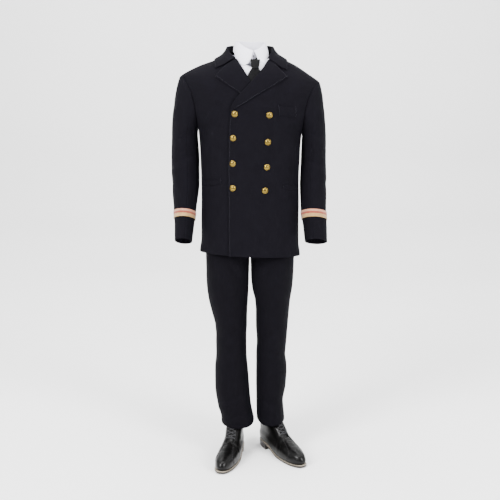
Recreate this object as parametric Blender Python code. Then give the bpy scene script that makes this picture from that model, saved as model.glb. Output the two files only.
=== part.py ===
"""An officer's uniform costume as it is worn: double-breasted jacket, shirt, tie, trousers and boots.

Every piece that a maker would cut is its own hollow wall of cloth or leather. Heights in the tables
are metres above the floor. An empty lowers the whole costume, so that the world's origin is the point
between the shoulders where the wearer carries it. -Y is the front, +X is the wearer's left, +Z is up.
"""

import math

import bmesh
import bpy
from mathutils import Vector
from mathutils.bvhtree import BVHTree

# Driving sizes, in metres and degrees.
HOLD_HEIGHT = 1.520
SEAM_GAP = 0.0003
COAT_CLOTH = 0.0024
TROUSER_CLOTH = 0.0018
SHIRT_CLOTH = 0.0012
BRAID_CLOTH = 0.0012
TIE_CLOTH = 0.0016
BOOT_LEATHER = 0.0026
SHOULDER_Y = 0.005
ROUNDNESS = 2.3
LEAN = 0.043
NECK_RISE = 0.011
EASE = 0.0007
LAYER = COAT_CLOTH + EASE
WIDE_EASE = 0.0015
SHIRT_LAYER = SHIRT_CLOTH + 0.0030

RIGHT = -1
LEFT = 1
FRONT = -1
BACK = 1
SIDE_NAMES = {RIGHT: "right", LEFT: "left"}
HALF_TURN = math.pi
QUARTER_TURN = math.pi / 2


class Table:
    """Rows of named columns, read between the rows along a smooth curve through them."""

    def __init__(self, columns, *rows):
        self.columns = columns.split()
        self.keys = [row[0] for row in rows]
        self.values = {name: [row[i] for row in rows] for i, name in enumerate(self.columns)}

    def at(self, key, name):
        keys = self.keys
        values = self.values[name]
        if key <= keys[0]:
            return values[0]
        if key >= keys[-1]:
            return values[-1]
        i = max(j for j in range(len(keys) - 1) if keys[j] <= key)
        step = keys[i + 1] - keys[i]
        share = (key - keys[i]) / step
        start = self.slope(i, values) * step
        end = self.slope(i + 1, values) * step
        rise = values[i + 1] - values[i]
        square = share**2
        cube = share**3
        curve = rise * (3 * square - 2 * cube) + start * (cube - 2 * square + share)
        return values[i] + curve + end * (cube - square)

    def slope(self, i, values):
        """The slope at a row, kept small enough that the curve never passes the rows beside it."""
        if i in (0, len(values) - 1):
            j = min(i, len(values) - 2)
            return (values[j + 1] - values[j]) / (self.keys[j + 1] - self.keys[j])
        before = (values[i] - values[i - 1]) / (self.keys[i] - self.keys[i - 1])
        after = (values[i + 1] - values[i]) / (self.keys[i + 1] - self.keys[i])
        if before * after <= 0:
            return 0.0
        return 2 * before * after / (before + after)


def blend(low, high, share):
    return low + (high - low) * share


def soft_step(value, start, end):
    """0 before start, 1 after end, and smooth between."""
    share = min(1.0, max(0.0, (value - start) / (end - start)))
    return share * share * (3 - 2 * share)


def spread(count, start=0.0, end=1.0):
    """Evenly spaced values from start to end, one more than count."""
    return [blend(start, end, i / count) for i in range(count + 1)]


def signed_power(value, power):
    return math.copysign(abs(value) ** power, value)


def along_line(stops, share):
    """A pair part of the way along a bent line, where each stop is (share, pair)."""
    for (start, low), (end, high) in zip(stops, stops[1:]):
        if share <= end:
            part = (share - start) / (end - start)
            return tuple(blend(a, b, part) for a, b in zip(low, high))
    return stops[-1][1]


def patch(left, right, bottom, top, across, up):
    """A pair inside four edges, each edge a function of 0 to 1 that gives a pair."""
    corners = (bottom(0.0), bottom(1.0), top(0.0), top(1.0))
    sides = (left(up), right(up), bottom(across), top(across))
    result = []
    for i in range(2):
        low = blend(corners[0][i], corners[1][i], across)
        high = blend(corners[2][i], corners[3][i], across)
        flat = blend(low, high, up)
        result.append(blend(sides[0][i], sides[1][i], across) + blend(sides[2][i], sides[3][i], up) - flat)
    return result


class Torso:
    """A garment's body: oval sections at each height, rounding over into the shoulder line at the top.

    A place on it is an angle round the body from the centre line and a fall below the shoulder line.
    """

    def __init__(self, sections, shoulder, armhole, round_over):
        self.sections = sections
        self.shoulder = shoulder
        self.armhole = armhole
        self.round_over = round_over

    def shoulder_height(self, x):
        return self.shoulder.at(abs(x), "height")

    def fall_at(self, x, height):
        """How far down the cloth a height is, from the shoulder line above it."""
        drop = max(0.0, self.shoulder_height(x) - height)
        if drop < self.round_over:
            return self.round_over * math.acos(1 - drop / self.round_over)
        return self.round_over * (QUARTER_TURN - 1) + drop

    def place(self, x, height):
        """The angle and the fall of the place at x and a height."""
        share = min(1.0, abs(x) / self.sections.at(height, "half_width"))
        return math.copysign(math.asin(share ** (ROUNDNESS / 2)), x), self.fall_at(x, height)

    def point(self, turn, fall, way):
        if fall < 0:
            return self.point(turn, -fall, -way)
        if abs(turn) > QUARTER_TURN:
            return self.point(math.copysign(HALF_TURN - abs(turn), turn), fall, -way)
        angle = min(fall / self.round_over, QUARTER_TURN)
        drop = self.round_over * (1 - math.cos(angle)) + max(0.0, fall - self.round_over * QUARTER_TURN)
        height = self.shoulder_height(0.1) - drop
        share = signed_power(math.sin(turn), 2 / ROUNDNESS)
        for _ in range(24):
            x = self.sections.at(height, "half_width") * share
            height = blend(height, self.shoulder_height(x) - drop, 0.8)
        depth = self.sections.at(height, "front" if way == FRONT else "back")
        reach = depth * signed_power(math.cos(turn), 2 / ROUNDNESS) * math.sin(angle)
        return Vector((x, SHOULDER_Y + way * reach, height))

    def normal(self, turn, fall, way):
        step = 0.004
        across = self.point(turn + step, fall, way) - self.point(turn - step, fall, way)
        down = self.point(turn, fall + step, way) - self.point(turn, fall - step, way)
        return (down.cross(across) * way * -1).normalized()

    def armhole_place(self, height):
        return self.place(self.armhole.at(height, "x"), height)


COAT = Torso(
    sections=Table(
        "height half_width front back",
        (0.740, 0.1880, 0.122, 0.137),
        (0.900, 0.1875, 0.124, 0.133),
        (1.050, 0.1860, 0.125, 0.117),
        (1.180, 0.1890, 0.131, 0.114),
        (1.262, 0.1950, 0.136, 0.119),
        (1.275, 0.2000, 0.137, 0.120),
        (1.300, 0.2120, 0.139, 0.122),
        (1.330, 0.2280, 0.140, 0.125),
        (1.362, 0.2365, 0.139, 0.126),
        (1.400, 0.2470, 0.136, 0.126),
        (1.430, 0.2610, 0.131, 0.124),
        (1.450, 0.2720, 0.127, 0.122),
        (1.465, 0.2860, 0.123, 0.120),
        (1.500, 0.2900, 0.115, 0.112),
        (1.550, 0.2900, 0.102, 0.100),
        (1.600, 0.2900, 0.095, 0.092),
    ),
    shoulder=Table(
        "x height",
        (0.000, 1.5720),
        (0.085, 1.5460),
        (0.136, 1.5210),
        (0.183, 1.5025),
        (0.228, 1.4800),
        (0.2565, 1.4625),
        (0.300, 1.4330),
    ),
    armhole=Table(
        "height x",
        (1.2620, 0.1950),
        (1.2750, 0.1955),
        (1.3000, 0.1970),
        (1.3300, 0.2005),
        (1.3620, 0.2060),
        (1.4000, 0.2170),
        (1.4300, 0.2310),
        (1.4500, 0.2450),
        (1.4625, 0.2565),
    ),
    round_over=0.105,
)

SHIRT = Torso(
    sections=Table(
        "height half_width front back",
        (0.880, 0.1530, 0.0930, 0.0960),
        (1.035, 0.1510, 0.0930, 0.0950),
        (1.120, 0.1650, 0.1100, 0.1010),
        (1.180, 0.1750, 0.1180, 0.1030),
        (1.278, 0.1850, 0.1260, 0.1100),
        (1.288, 0.1900, 0.1270, 0.1110),
        (1.305, 0.2000, 0.1280, 0.1120),
        (1.330, 0.2130, 0.1280, 0.1140),
        (1.362, 0.2265, 0.1290, 0.1160),
        (1.400, 0.2370, 0.1260, 0.1160),
        (1.430, 0.2510, 0.1210, 0.1140),
        (1.460, 0.2740, 0.1130, 0.1100),
        (1.500, 0.2900, 0.1040, 0.1020),
        (1.550, 0.2900, 0.0900, 0.0880),
    ),
    shoulder=Table(
        "x height",
        (0.000, 1.5640),
        (0.085, 1.5370),
        (0.136, 1.5120),
        (0.183, 1.4930),
        (0.228, 1.4700),
        (0.247, 1.4580),
        (0.300, 1.4230),
    ),
    armhole=Table(
        "height x",
        (1.2780, 0.1850),
        (1.2880, 0.1860),
        (1.3050, 0.1880),
        (1.3300, 0.1910),
        (1.3620, 0.1965),
        (1.4000, 0.2075),
        (1.4300, 0.2215),
        (1.4580, 0.2470),
    ),
    round_over=0.100,
)


class Sleeve:
    """A sleeve: a cap that leaves the armhole's edge, then oval sections down the arm.

    A place on it is an angle from the outer side towards the front, and a way down: 0 at the armhole,
    1 where the cap ends, and 2 at the end of the sleeve.
    """

    def __init__(self, side, torso, sections, cap_roll, under_roll):
        self.side = side
        self.torso = torso
        self.sections = sections
        self.cap_roll = cap_roll
        self.under_roll = under_roll
        self.bottom = torso.armhole.keys[0]
        self.top = torso.armhole.keys[-1]

    def armhole_edge(self, angle):
        middle = (self.top + self.bottom) / 2
        height = middle + (self.top - self.bottom) / 2 * math.cos(angle)
        turn, fall = self.torso.armhole_place(height)
        way = FRONT if math.sin(angle) >= 0 else BACK
        edge = self.torso.point(turn, fall, way)
        edge.x += 2 * SEAM_GAP
        return edge

    def ring(self, angle, height):
        column = lambda name: self.sections.at(-height, name)
        tilt = math.radians(column("tilt"))
        forward = column("half_depth") * math.sin(angle)
        x = column("x") + column("half_width") * math.cos(angle)
        return Vector((x, column("y") - forward * math.cos(tilt), height + forward * math.sin(tilt)))

    def point(self, angle, way_down):
        first = -self.sections.keys[0]
        last = -self.sections.keys[-1]
        if way_down >= 1:
            result = self.ring(angle, blend(first, last, min(1.0, way_down - 1)))
        else:
            start = self.armhole_edge(angle)
            end = self.ring(angle, first)
            reach = (end - start).length
            roll = blend(self.under_roll, self.cap_roll, math.cos(angle / 2) ** 2)
            out = start + Vector((roll, 0.25 * roll * -math.sin(angle), 0))
            above = end + Vector((0, 0, 0.42 * reach))
            keep = 1 - way_down
            result = start * keep**3 + out * (3 * keep**2 * way_down)
            result += above * (3 * keep * way_down**2) + end * way_down**3
        result.x *= self.side
        return result

    def normal(self, angle, way_down):
        step = 0.01
        low = max(0.0, way_down - step)
        high = min(2.0, way_down + step)
        around = self.point(angle + step, way_down) - self.point(angle - step, way_down)
        down = self.point(angle, high) - self.point(angle, low)
        return (around.cross(down) * self.side).normalized()


COAT_SLEEVES = {
    RIGHT: Sleeve(
        RIGHT,
        COAT,
        Table(
            "below x y half_width half_depth tilt",
            (-1.235, 0.2465, 0.006, 0.0495, 0.0775, 0),
            (-1.130, 0.2465, 0.014, 0.0535, 0.0760, 3),
            (-1.060, 0.2455, 0.008, 0.0520, 0.0730, 10),
            (-0.975, 0.2475, -0.014, 0.0440, 0.0670, 17),
            (-0.905, 0.2495, -0.036, 0.0375, 0.0610, 19),
            (-0.842, 0.2525, -0.058, 0.0330, 0.0580, 19),
        ),
        cap_roll=0.014,
        under_roll=0.003,
    ),
    LEFT: Sleeve(
        LEFT,
        COAT,
        Table(
            "below x y half_width half_depth tilt",
            (-1.235, 0.2420, 0.006, 0.0460, 0.0775, 0),
            (-1.150, 0.2420, 0.014, 0.0480, 0.0760, 3),
            (-1.080, 0.2415, 0.008, 0.0505, 0.0720, 10),
            (-0.985, 0.2420, -0.016, 0.0485, 0.0650, 17),
            (-0.925, 0.2465, -0.036, 0.0455, 0.0580, 19),
            (-0.862, 0.2500, -0.058, 0.0425, 0.0545, 19),
        ),
        cap_roll=0.012,
        under_roll=0.003,
    ),
}


def shirt_sleeve(side):
    """The shirt's sleeve, inside the coat's and a little shorter."""
    coat = COAT_SLEEVES[side].sections
    narrower = 0.0090
    shallower = 0.0110
    last = len(coat.keys) - 1
    shifts = {0: 0.012, last: -0.030}
    rows = []
    for i, key in enumerate(coat.keys):
        key += shifts.get(i, 0.0)
        row = {name: coat.at(key, name) for name in coat.columns[1:]}
        half_width = row["half_width"] - narrower
        rows.append((key, row["x"], row["y"], half_width, row["half_depth"] - shallower, row["tilt"]))
    return Sleeve(side, SHIRT, Table("below x y half_width half_depth tilt", *rows), 0.006, 0.018)


class Legs:
    """The trousers: one oval at the hips that parts into two legs below the crotch."""

    hips = Table(
        "height half_width front back",
        (0.700, 0.171, 0.098, 0.116),
        (0.780, 0.171, 0.101, 0.120),
        (0.860, 0.172, 0.103, 0.122),
        (0.940, 0.167, 0.103, 0.112),
        (1.040, 0.156, 0.100, 0.100),
    )
    legs = {
        RIGHT: Table(
            "height outer inner y front back",
            (0.120, 0.1125, -0.0195, -0.014, 0.0766, 0.074),
            (0.148, 0.1135, -0.0135, -0.013, 0.0766, 0.075),
            (0.198, 0.1270, -0.0040, -0.009, 0.078, 0.078),
            (0.272, 0.1380, 0.0030, -0.004, 0.080, 0.082),
            (0.346, 0.1380, 0.0080, 0.001, 0.082, 0.084),
            (0.395, 0.1340, 0.0120, 0.004, 0.082, 0.084),
            (0.480, 0.1345, 0.0140, 0.006, 0.084, 0.082),
            (0.516, 0.1370, 0.0120, 0.006, 0.086, 0.082),
            (0.565, 0.1490, 0.0110, 0.010, 0.090, 0.086),
            (0.613, 0.1600, 0.0080, 0.008, 0.094, 0.092),
            (0.660, 0.1670, 0.0050, 0.006, 0.097, 0.098),
            (0.708, 0.1705, 0.0035, 0.005, 0.099, 0.106),
            (0.780, 0.1710, 0.0030, 0.005, 0.101, 0.114),
        ),
        LEFT: Table(
            "height outer inner y front back",
            (0.120, 0.1380, 0.0280, 0.020, 0.084, 0.076),
            (0.148, 0.1360, 0.0260, 0.020, 0.081, 0.077),
            (0.198, 0.1320, 0.0240, 0.021, 0.078, 0.078),
            (0.272, 0.1430, 0.0240, 0.018, 0.080, 0.082),
            (0.346, 0.1460, 0.0240, 0.018, 0.082, 0.084),
            (0.395, 0.1390, 0.0240, 0.018, 0.082, 0.084),
            (0.444, 0.1430, 0.0270, 0.016, 0.083, 0.083),
            (0.516, 0.1490, 0.0235, 0.012, 0.086, 0.082),
            (0.565, 0.1525, 0.0235, 0.010, 0.090, 0.086),
            (0.613, 0.1570, 0.0195, 0.008, 0.094, 0.092),
            (0.660, 0.1640, 0.0080, 0.006, 0.097, 0.098),
            (0.708, 0.1680, 0.0035, 0.005, 0.099, 0.106),
            (0.780, 0.1710, 0.0030, 0.005, 0.101, 0.114),
        ),
    }
    join_start = 0.735
    join_end = 0.850

    def point(self, side, across, height, way):
        """across runs from the inner edge, 0, to the side seam, 1."""
        if across > 1:
            return self.point(side, 2 - across, height, -way)
        column = lambda name: self.legs[side].at(height, name)
        middle = (column("outer") + column("inner")) / 2
        half = (column("outer") - column("inner")) / 2
        angle = HALF_TURN * across
        depth = column("front" if way == FRONT else "back")
        leg = Vector((middle - half * math.cos(angle), column("y"), height))
        leg.y += way * depth * signed_power(math.sin(angle), 0.9)
        turn = QUARTER_TURN * across
        deep = self.hips.at(height, "front" if way == FRONT else "back")
        reach = signed_power(math.sin(turn), 2 / ROUNDNESS)
        hip = Vector((self.hips.at(height, "half_width") * reach, 0, height))
        hip.y = SHOULDER_Y + way * deep * signed_power(math.cos(turn), 2 / ROUNDNESS)
        hip.x = max(hip.x, SEAM_GAP / 2)
        result = leg.lerp(hip, soft_step(height, self.join_start, self.join_end))
        result.x *= side
        return result

    def normal(self, side, across, height, way):
        step = 0.006
        low = max(0.0, across - step)
        sideways = self.point(side, across + step, height, way) - self.point(side, low, height, way)
        upward = self.point(side, across, height + step, way) - self.point(side, across, height - step, way)
        return (sideways.cross(upward) * -way * side).normalized()


# How far the forefoot reaches on beyond the tables of the boot.
FOREFOOT = 0.013


class Boot:
    """A boot seen as rings round the foot, each one higher and, over the toes, further back."""

    # front and back are distances along the foot from the heel's datum.
    rings = Table(
        "share front back half_width rise",
        (0.00, 0.2830, 0.0040, 0.0430, 0.0000),
        (0.12, 0.2880, 0.0000, 0.0460, 0.0110),
        (0.28, 0.2800, -0.0010, 0.0450, 0.0255),
        (0.42, 0.2520, 0.0010, 0.0410, 0.0385),
        (0.54, 0.2130, 0.0030, 0.0390, 0.0490),
        (0.65, 0.1740, 0.0040, 0.0390, 0.0630),
        (0.76, 0.1500, 0.0050, 0.0410, 0.0830),
        (0.87, 0.1270, 0.0050, 0.0420, 0.1030),
        (1.00, 0.1150, 0.0050, 0.0430, 0.1320),
    )
    # The foot's outline narrows at the waist and the heel.
    outline = Table(
        "along width",
        (0.000, 0.72),
        (0.060, 0.74),
        (0.120, 0.78),
        (0.200, 0.91),
        (0.250, 0.90),
        (0.290, 0.84),
    )
    # The height of the sole's upper side along the foot.
    bed = Table(
        "along height",
        (0.000, 0.0300),
        (0.080, 0.0290),
        (0.165, 0.0092),
        (0.230, 0.0085),
        (0.295, 0.0120),
    )

    def __init__(self, side, heel_x, heel_y, turned_out, swing):
        self.side = side
        self.swing = swing
        self.heel = Vector((heel_x, heel_y, 0))
        angle = math.radians(turned_out)
        self.forward = Vector((side * math.sin(angle), -math.cos(angle), 0))
        self.outward = Vector((side * math.cos(angle), math.sin(angle), 0))

    def local(self, along, out, height):
        fore = soft_step(along, 0.13, 0.27)
        along += FOREFOOT * fore
        out += self.swing * fore
        return self.heel + self.forward * along + self.outward * out + Vector((0, 0, height))

    def point(self, angle, share):
        """angle runs from the toe, 0, round the outer side to the heel at a half turn."""
        column = lambda name: self.rings.at(share, name)
        middle = (column("front") + column("back")) / 2
        half = (column("front") - column("back")) / 2
        along = middle + half * signed_power(math.cos(angle), 0.86)
        width = column("half_width") * self.outline.at(along, "width")
        out = width * signed_power(math.sin(angle), 0.86)
        height = blend(self.bed.at(along, "height"), 0.022, share) + column("rise")
        return self.local(along, out, height)

    def normal(self, angle, share):
        step = 0.01
        around = self.point(angle + step, share) - self.point(angle - step, share)
        up = self.point(angle, min(1.0, share + step)) - self.point(angle, max(0.0, share - step))
        return (around.cross(up) * self.side).normalized()


# The left boot is turned out much further than the right.
BOOTS = {
    RIGHT: Boot(RIGHT, -0.0420, 0.052, 12.0, 0.005),
    LEFT: Boot(LEFT, 0.0480, 0.076, 32.5, -0.008),
}


# Colours are linear red, green and blue.
CLOTH_COLOURS = {
    "coat_wool": (0.010, 0.010, 0.016, 0.85),
    "trouser_wool": (0.009, 0.009, 0.014, 0.85),
    "shirt_cotton": (0.80, 0.79, 0.83, 0.75),
    "tie_silk": (0.006, 0.006, 0.008, 0.55),
    "braid_gold": (0.60, 0.40, 0.18, 0.45),
    "braid_red": (0.26, 0.04, 0.03, 0.70),
    "button_gilt": (0.75, 0.52, 0.20, 0.25),
    "boot_leather": (0.006, 0.006, 0.006, 0.15),
    "sole_leather": (0.020, 0.015, 0.012, 0.50),
}
METALS = ("button_gilt", "braid_gold")

root = None
surfaces = {}


def material_for(name, kind):
    """A material of the piece's own."""
    red, green, blue, roughness = CLOTH_COLOURS[kind]
    material = bpy.data.materials.new(f"{name}_{kind}")
    material.use_nodes = True
    shader = material.node_tree.nodes["Principled BSDF"]
    shader.inputs["Base Color"].default_value = (red, green, blue, 1.0)
    shader.inputs["Roughness"].default_value = roughness
    shader.inputs["Metallic"].default_value = 1.0 if kind in METALS else 0.0
    return material


def settle(point):
    """The upper garments hang a little lower on the wearer's left, but less so beside the neck."""
    near = math.exp(-(((point.x - 0.130) / 0.075) ** 2))
    rise = NECK_RISE * near * soft_step(point.z, 1.450, 1.510)
    return Vector((point.x, point.y, point.z - LEAN * point.x + rise))


def add_solid(name, points, faces, kind):
    """One closed body, facing out, lowered by the empty to the height where it is carried."""
    mesh = bpy.data.meshes.new(name)
    mesh.from_pydata([tuple(point) for point in points], [], faces)
    shape = bmesh.new()
    shape.from_mesh(mesh)
    bmesh.ops.recalc_face_normals(shape, faces=shape.faces)
    shape.to_mesh(mesh)
    shape.free()
    mesh.shade_smooth()
    mesh.set_sharp_from_angle(angle=math.radians(50))
    part = bpy.data.objects.new(name, mesh)
    part.data.materials.append(material_for(name, kind))
    part.parent = root
    bpy.context.collection.objects.link(part)
    return part


def triangles(corners, outer, facing):
    """Two triangles for four corners, split so that the outer side bulges. outer gives a corner's point."""
    a, b, c, d = (outer(corner) for corner in corners)
    if ((a + c) / 2 - (b + d) / 2).dot(facing) >= 0:
        return (corners[0], corners[1], corners[2]), (corners[0], corners[2], corners[3])
    return (corners[1], corners[2], corners[3]), (corners[1], corners[3], corners[0])


def wall(name, outer, inner, kind, ring=False):
    """A wall between two grids of points. A ring's rows close on themselves."""
    rows = len(outer)
    columns = len(outer[0])
    points = [point for row in outer for point in row] + [point for row in inner for point in row]
    inside = rows * columns
    spans = columns if ring else columns - 1
    faces = []
    for i in range(rows - 1):
        for j in range(spans):
            corners = (i * columns + j, i * columns + (j + 1) % columns)
            corners += ((i + 1) * columns + (j + 1) % columns, (i + 1) * columns + j)
            facing = points[corners[0]] - points[corners[0] + inside]
            for triangle in triangles(corners, lambda corner: points[corner], facing):
                faces.append(triangle)
                faces.append(tuple(corner + inside for corner in reversed(triangle)))
    rim = [(i * columns + j, i * columns + (j + 1) % columns) for i in (0, rows - 1) for j in range(spans)]
    if not ring:
        rim += [(i * columns + j, (i + 1) * columns + j) for i in range(rows - 1) for j in (0, columns - 1)]
    faces += [(a, b, b + inside, a + inside) for a, b in rim]
    return add_solid(name, points, faces, kind)


def note_surface(name, outer, normals, ring):
    """Keep a piece's outer side, facing out, for the pieces that lie on it."""
    columns = len(outer[0])
    points = [point for row in outer for point in row]
    faces = []
    for i in range(len(outer) - 1):
        for j in range(columns if ring else columns - 1):
            k = (j + 1) % columns
            a, b, c, d = outer[i][j], outer[i][k], outer[i + 1][k], outer[i + 1][j]
            corners = (i * columns + j, i * columns + k, (i + 1) * columns + k, (i + 1) * columns + j)
            out = (c - a).cross(d - b).dot(normals[i][j]) > 0
            for triangle in triangles(corners, lambda corner: points[corner], normals[i][j]):
                faces.append(triangle if out else triangle[::-1])
    surfaces[name] = BVHTree.FromPolygons(points, faces)


def shell(name, outer, normals, thickness, kind, ring=False, over=(), clear=EASE):
    """A wall of even thickness, moved out wherever it would come too close to what lies below it."""
    inner = [[p - n * thickness for p, n in zip(*pair)] for pair in zip(outer, normals)]
    for i, row in enumerate(inner):
        for j, point in enumerate(row):
            shift = Vector((0, 0, 0))
            for _ in range(3):
                for below in over:
                    near, direction, _, distance = surfaces[below].find_nearest(point + shift)
                    height = (point + shift - near).dot(direction)
                    same_side = direction.dot(normals[i][j]) > 0.2
                    level = (point + shift - near - direction * height).length < 0.004
                    if same_side and level and height < clear and distance < 0.02:
                        shift += direction * (clear - height)
            inner[i][j] = point + shift
            outer[i][j] = outer[i][j] + shift
    note_surface(name, outer, normals, ring)
    return wall(name, outer, inner, kind, ring)


def from_surface(name, surface, places, lifts, thickness, kind, ring=False, tilt=True, over=(), clear=EASE):
    """A shell on a surface: places are grids of the surface's own coordinates, lifts how far out each is."""
    outer = []
    normals = []
    for place_row, lift_row in zip(places, lifts):
        normal_row = [surface.normal(*place) for place in place_row]
        outer.append([surface.point(*p) + n * lift for p, n, lift in zip(place_row, normal_row, lift_row)])
        normals.append(normal_row)
    if tilt:
        outer = [[settle(point) for point in row] for row in outer]
    return shell(name, outer, normals, thickness, kind, ring, over, clear)


def flat_lifts(places, lift=0.0):
    return [[lift for _ in row] for row in places]


# The coat's edges, as x at each height. The left front laps over the right.
COAT_HEM = 0.8010
COAT_EDGES = {
    LEFT: Table(
        "height x",
        (0.800, -0.0790),
        (1.050, -0.0800),
        (1.250, -0.0770),
        (1.339, -0.0690),
        (1.445, 0.0100),
        (1.482, 0.0430),
        (1.530, 0.0740),
    ),
    RIGHT: Table(
        "height x",
        (0.800, 0.0740),
        (1.200, 0.0740),
        (1.345, 0.0620),
        (1.4615, -0.0110),
        (1.525, -0.0520),
        (1.535, -0.0590),
    ),
}
NECK_X = 0.080
GAP_ANGLE = 0.0016


def coat_front_edge(side):
    """The front's edge from the hem up to the neck point, as places on the coat."""
    table = COAT_EDGES[side]
    last = table.keys[-1]
    stops = [COAT.place(table.at(height, "x"), height) for height in spread(40, COAT_HEM, last)]
    stops.append((side * COAT.place(NECK_X, COAT.shoulder_height(NECK_X))[0], SEAM_GAP / 2))
    return stops


def on_stops(stops):
    """A function of 0 to 1 along stops, each at its share of the whole length."""
    lengths = [0.0]
    for low, high in zip(stops, stops[1:]):
        lengths.append(lengths[-1] + math.hypot((high[0] - low[0]) * 0.15, high[1] - low[1]))
    keyed = [(length / lengths[-1], stop) for length, stop in zip(lengths, stops)]
    return lambda share: along_line(keyed, share)


# The angles round the armhole where the panels' rows and the sleeve's columns meet, from the underarm up.
ARMHOLE_STATIONS = {
    FRONT: (180, 156, 131, 106, 84, 63, 42, 21, 0),
    BACK: (180, 160, 139, 118, 94, 70, 47, 23, 0),
}
SLEEVE_FRONT_SEAM = 106
SLEEVE_BACK_SEAM = 242


def side_and_armhole(torso, side, hem, way, seam_rows):
    """Rows' outer ends: up the side seam from the hem, then round the armhole to the shoulder's tip."""
    seam_turn = QUARTER_TURN - GAP_ANGLE
    under = torso.armhole.keys[0]
    tip = torso.armhole.keys[-1]
    full = torso.sections.at
    stops = []
    for height in spread(seam_rows, hem, under)[:-1]:
        stops.append((side * seam_turn, torso.fall_at(full(height, "half_width"), height)))
    for degrees in ARMHOLE_STATIONS[way]:
        height = (tip + under) / 2 + (tip - under) / 2 * math.cos(math.radians(degrees))
        turn, fall = torso.armhole_place(height)
        stops.append((side * min(turn, seam_turn), max(fall, SEAM_GAP / 2)))
    return stops


def length_shares(stops):
    lengths = [0.0]
    for low, high in zip(stops, stops[1:]):
        lengths.append(lengths[-1] + math.hypot((high[0] - low[0]) * 0.15, high[1] - low[1]))
    return [length / lengths[-1] for length in lengths]


def body_panel(torso, left, outer, top, hem, columns, way):
    """Places on one panel between a left edge, its rows' outer ends, the hem and a top edge."""
    right = on_stops(outer)
    start = left(0.0)
    corner = outer[0]
    rise = hem_curve(torso, start[0], corner[0], hem)

    def bottom(share):
        return blend(start[0], corner[0], share), blend(start[1], corner[1], share) + rise(share)

    rows = length_shares(outer)
    return [[(*patch(left, right, bottom, top, across, up), way) for across in columns] for up in rows]


def hem_curve(torso, start, corner, hem):
    """How far the level hem leaves the straight line between its two ends."""

    def rise(share):
        turn = blend(start, corner, share)
        low = torso.sections.at(hem, "half_width")
        x = low * signed_power(math.sin(turn), 2 / ROUNDNESS)
        reaches = [low * signed_power(math.sin(end), 2 / ROUNDNESS) for end in (start, corner)]
        ends = [torso.fall_at(reach, hem) for reach in reaches]
        return torso.fall_at(x, hem) - blend(ends[0], ends[1], share)

    return rise


def front_lift(spot):
    """How far the left front stands out where it lies over the right front and the right lapel."""
    over_front = (1 - soft_step(spot.x, 0.078, 0.125)) * (1 - soft_step(spot.z, 1.455, 1.510))
    over_lapel = soft_step(spot.z, 1.315, 1.355)
    return (COAT_CLOTH + WIDE_EASE) * over_front * (1 + over_lapel)


def make_coat_fronts():
    for side in (RIGHT, LEFT):
        stops = coat_front_edge(side)
        outer = side_and_armhole(COAT, side, COAT_HEM, FRONT, 9)
        top = on_stops([stops[-1], outer[-1]])
        places = body_panel(COAT, on_stops(stops), outer, top, COAT_HEM, spread(10), FRONT)
        lifts = flat_lifts(places)
        if side == LEFT:
            lifts = [[front_lift(COAT.point(*place)) for place in row] for row in places]
        over = ("jacket_front_right", "jacket_lapel_right") if side == LEFT else ()
        name = f"jacket_front_{SIDE_NAMES[side]}"
        from_surface(name, COAT, places, lifts, COAT_CLOTH, "coat_wool", over=over, clear=WIDE_EASE)
        make_lapel(side)


def make_coat_backs():
    neck = COAT.place(NECK_X, COAT.shoulder_height(NECK_X))[0]
    neck_fall = COAT.fall_at(0.0, 1.545)
    for side in (RIGHT, LEFT):
        centre = side * GAP_ANGLE / 8
        left = on_stops([(centre, COAT.fall_at(0.0, COAT_HEM)), (centre, neck_fall)])
        outer = side_and_armhole(COAT, side, COAT_HEM, BACK, 9)
        hollow = [(centre, neck_fall), (side * neck * 0.55, neck_fall * 0.80)]
        hollow.append((side * neck * 0.9, neck_fall * 0.3))
        stops = hollow + [(side * neck, SEAM_GAP / 2), outer[-1]]
        neck_share = length_shares(stops)[-2]
        columns = spread(3, 0, neck_share) + spread(6, neck_share, 1)[1:]
        places = body_panel(COAT, left, outer, on_stops(stops), COAT_HEM, columns, BACK)
        name = f"jacket_back_{SIDE_NAMES[side]}"
        from_surface(name, COAT, places, flat_lifts(places), COAT_CLOTH, "coat_wool")


# Each lapel as a front view: the roll line's top, the notch, the tip, and the foot of its outer edge.
LAPELS = {
    LEFT: {"gorge": 1.520, "notch": (0.107, 1.4846), "tip": (0.138, 1.4650), "foot": 1.3420},
    RIGHT: {"gorge": 1.524, "notch": (-0.095, 1.4920), "tip": (-0.126, 1.4566), "foot": 1.4060},
}


def lapel_foot(side):
    """Where the outer edge ends. The right lapel goes on a little way under the left front."""
    if side == LEFT:
        return (-0.0610, 1.3394)
    return (-0.0180, 1.3880)


def line_between(start, end, share):
    return tuple(blend(low, high, share) for low, high in zip(start, end))


def make_lapel(side):
    shape = LAPELS[side]
    table = COAT_EDGES[side]
    gap = side * SEAM_GAP
    roll = [(table.at(h, "x") + gap, h) for h in spread(12, shape["foot"], shape["gorge"] - 0.001)]
    left = on_stops([COAT.place(*stop) for stop in roll])
    notch = (shape["notch"][0], shape["notch"][1] - 0.001)
    right = on_stops([COAT.place(*line_between(lapel_foot(side), shape["tip"], s)) for s in spread(10)])
    top_stops = [COAT.place(*roll[-1]), COAT.place(*notch), COAT.place(*shape["tip"])]
    top = on_stops(top_stops)
    bottom = on_stops([COAT.place(*roll[0]), COAT.place(*lapel_foot(side))])
    places = []
    for up in spread(8):
        places.append([(*patch(left, right, bottom, top, across, up), FRONT) for across in spread(4)])
    name = f"jacket_lapel_{SIDE_NAMES[side]}"
    below = f"jacket_front_{SIDE_NAMES[side]}"
    extra = front_lift if side == LEFT else lambda spot: 0.0
    lifts = [[LAYER + 0.0008 + extra(COAT.point(*place)) for place in row] for row in places]
    from_surface(name, COAT, places, lifts, COAT_CLOTH, "coat_wool", over=(below,), clear=WIDE_EASE)


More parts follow.
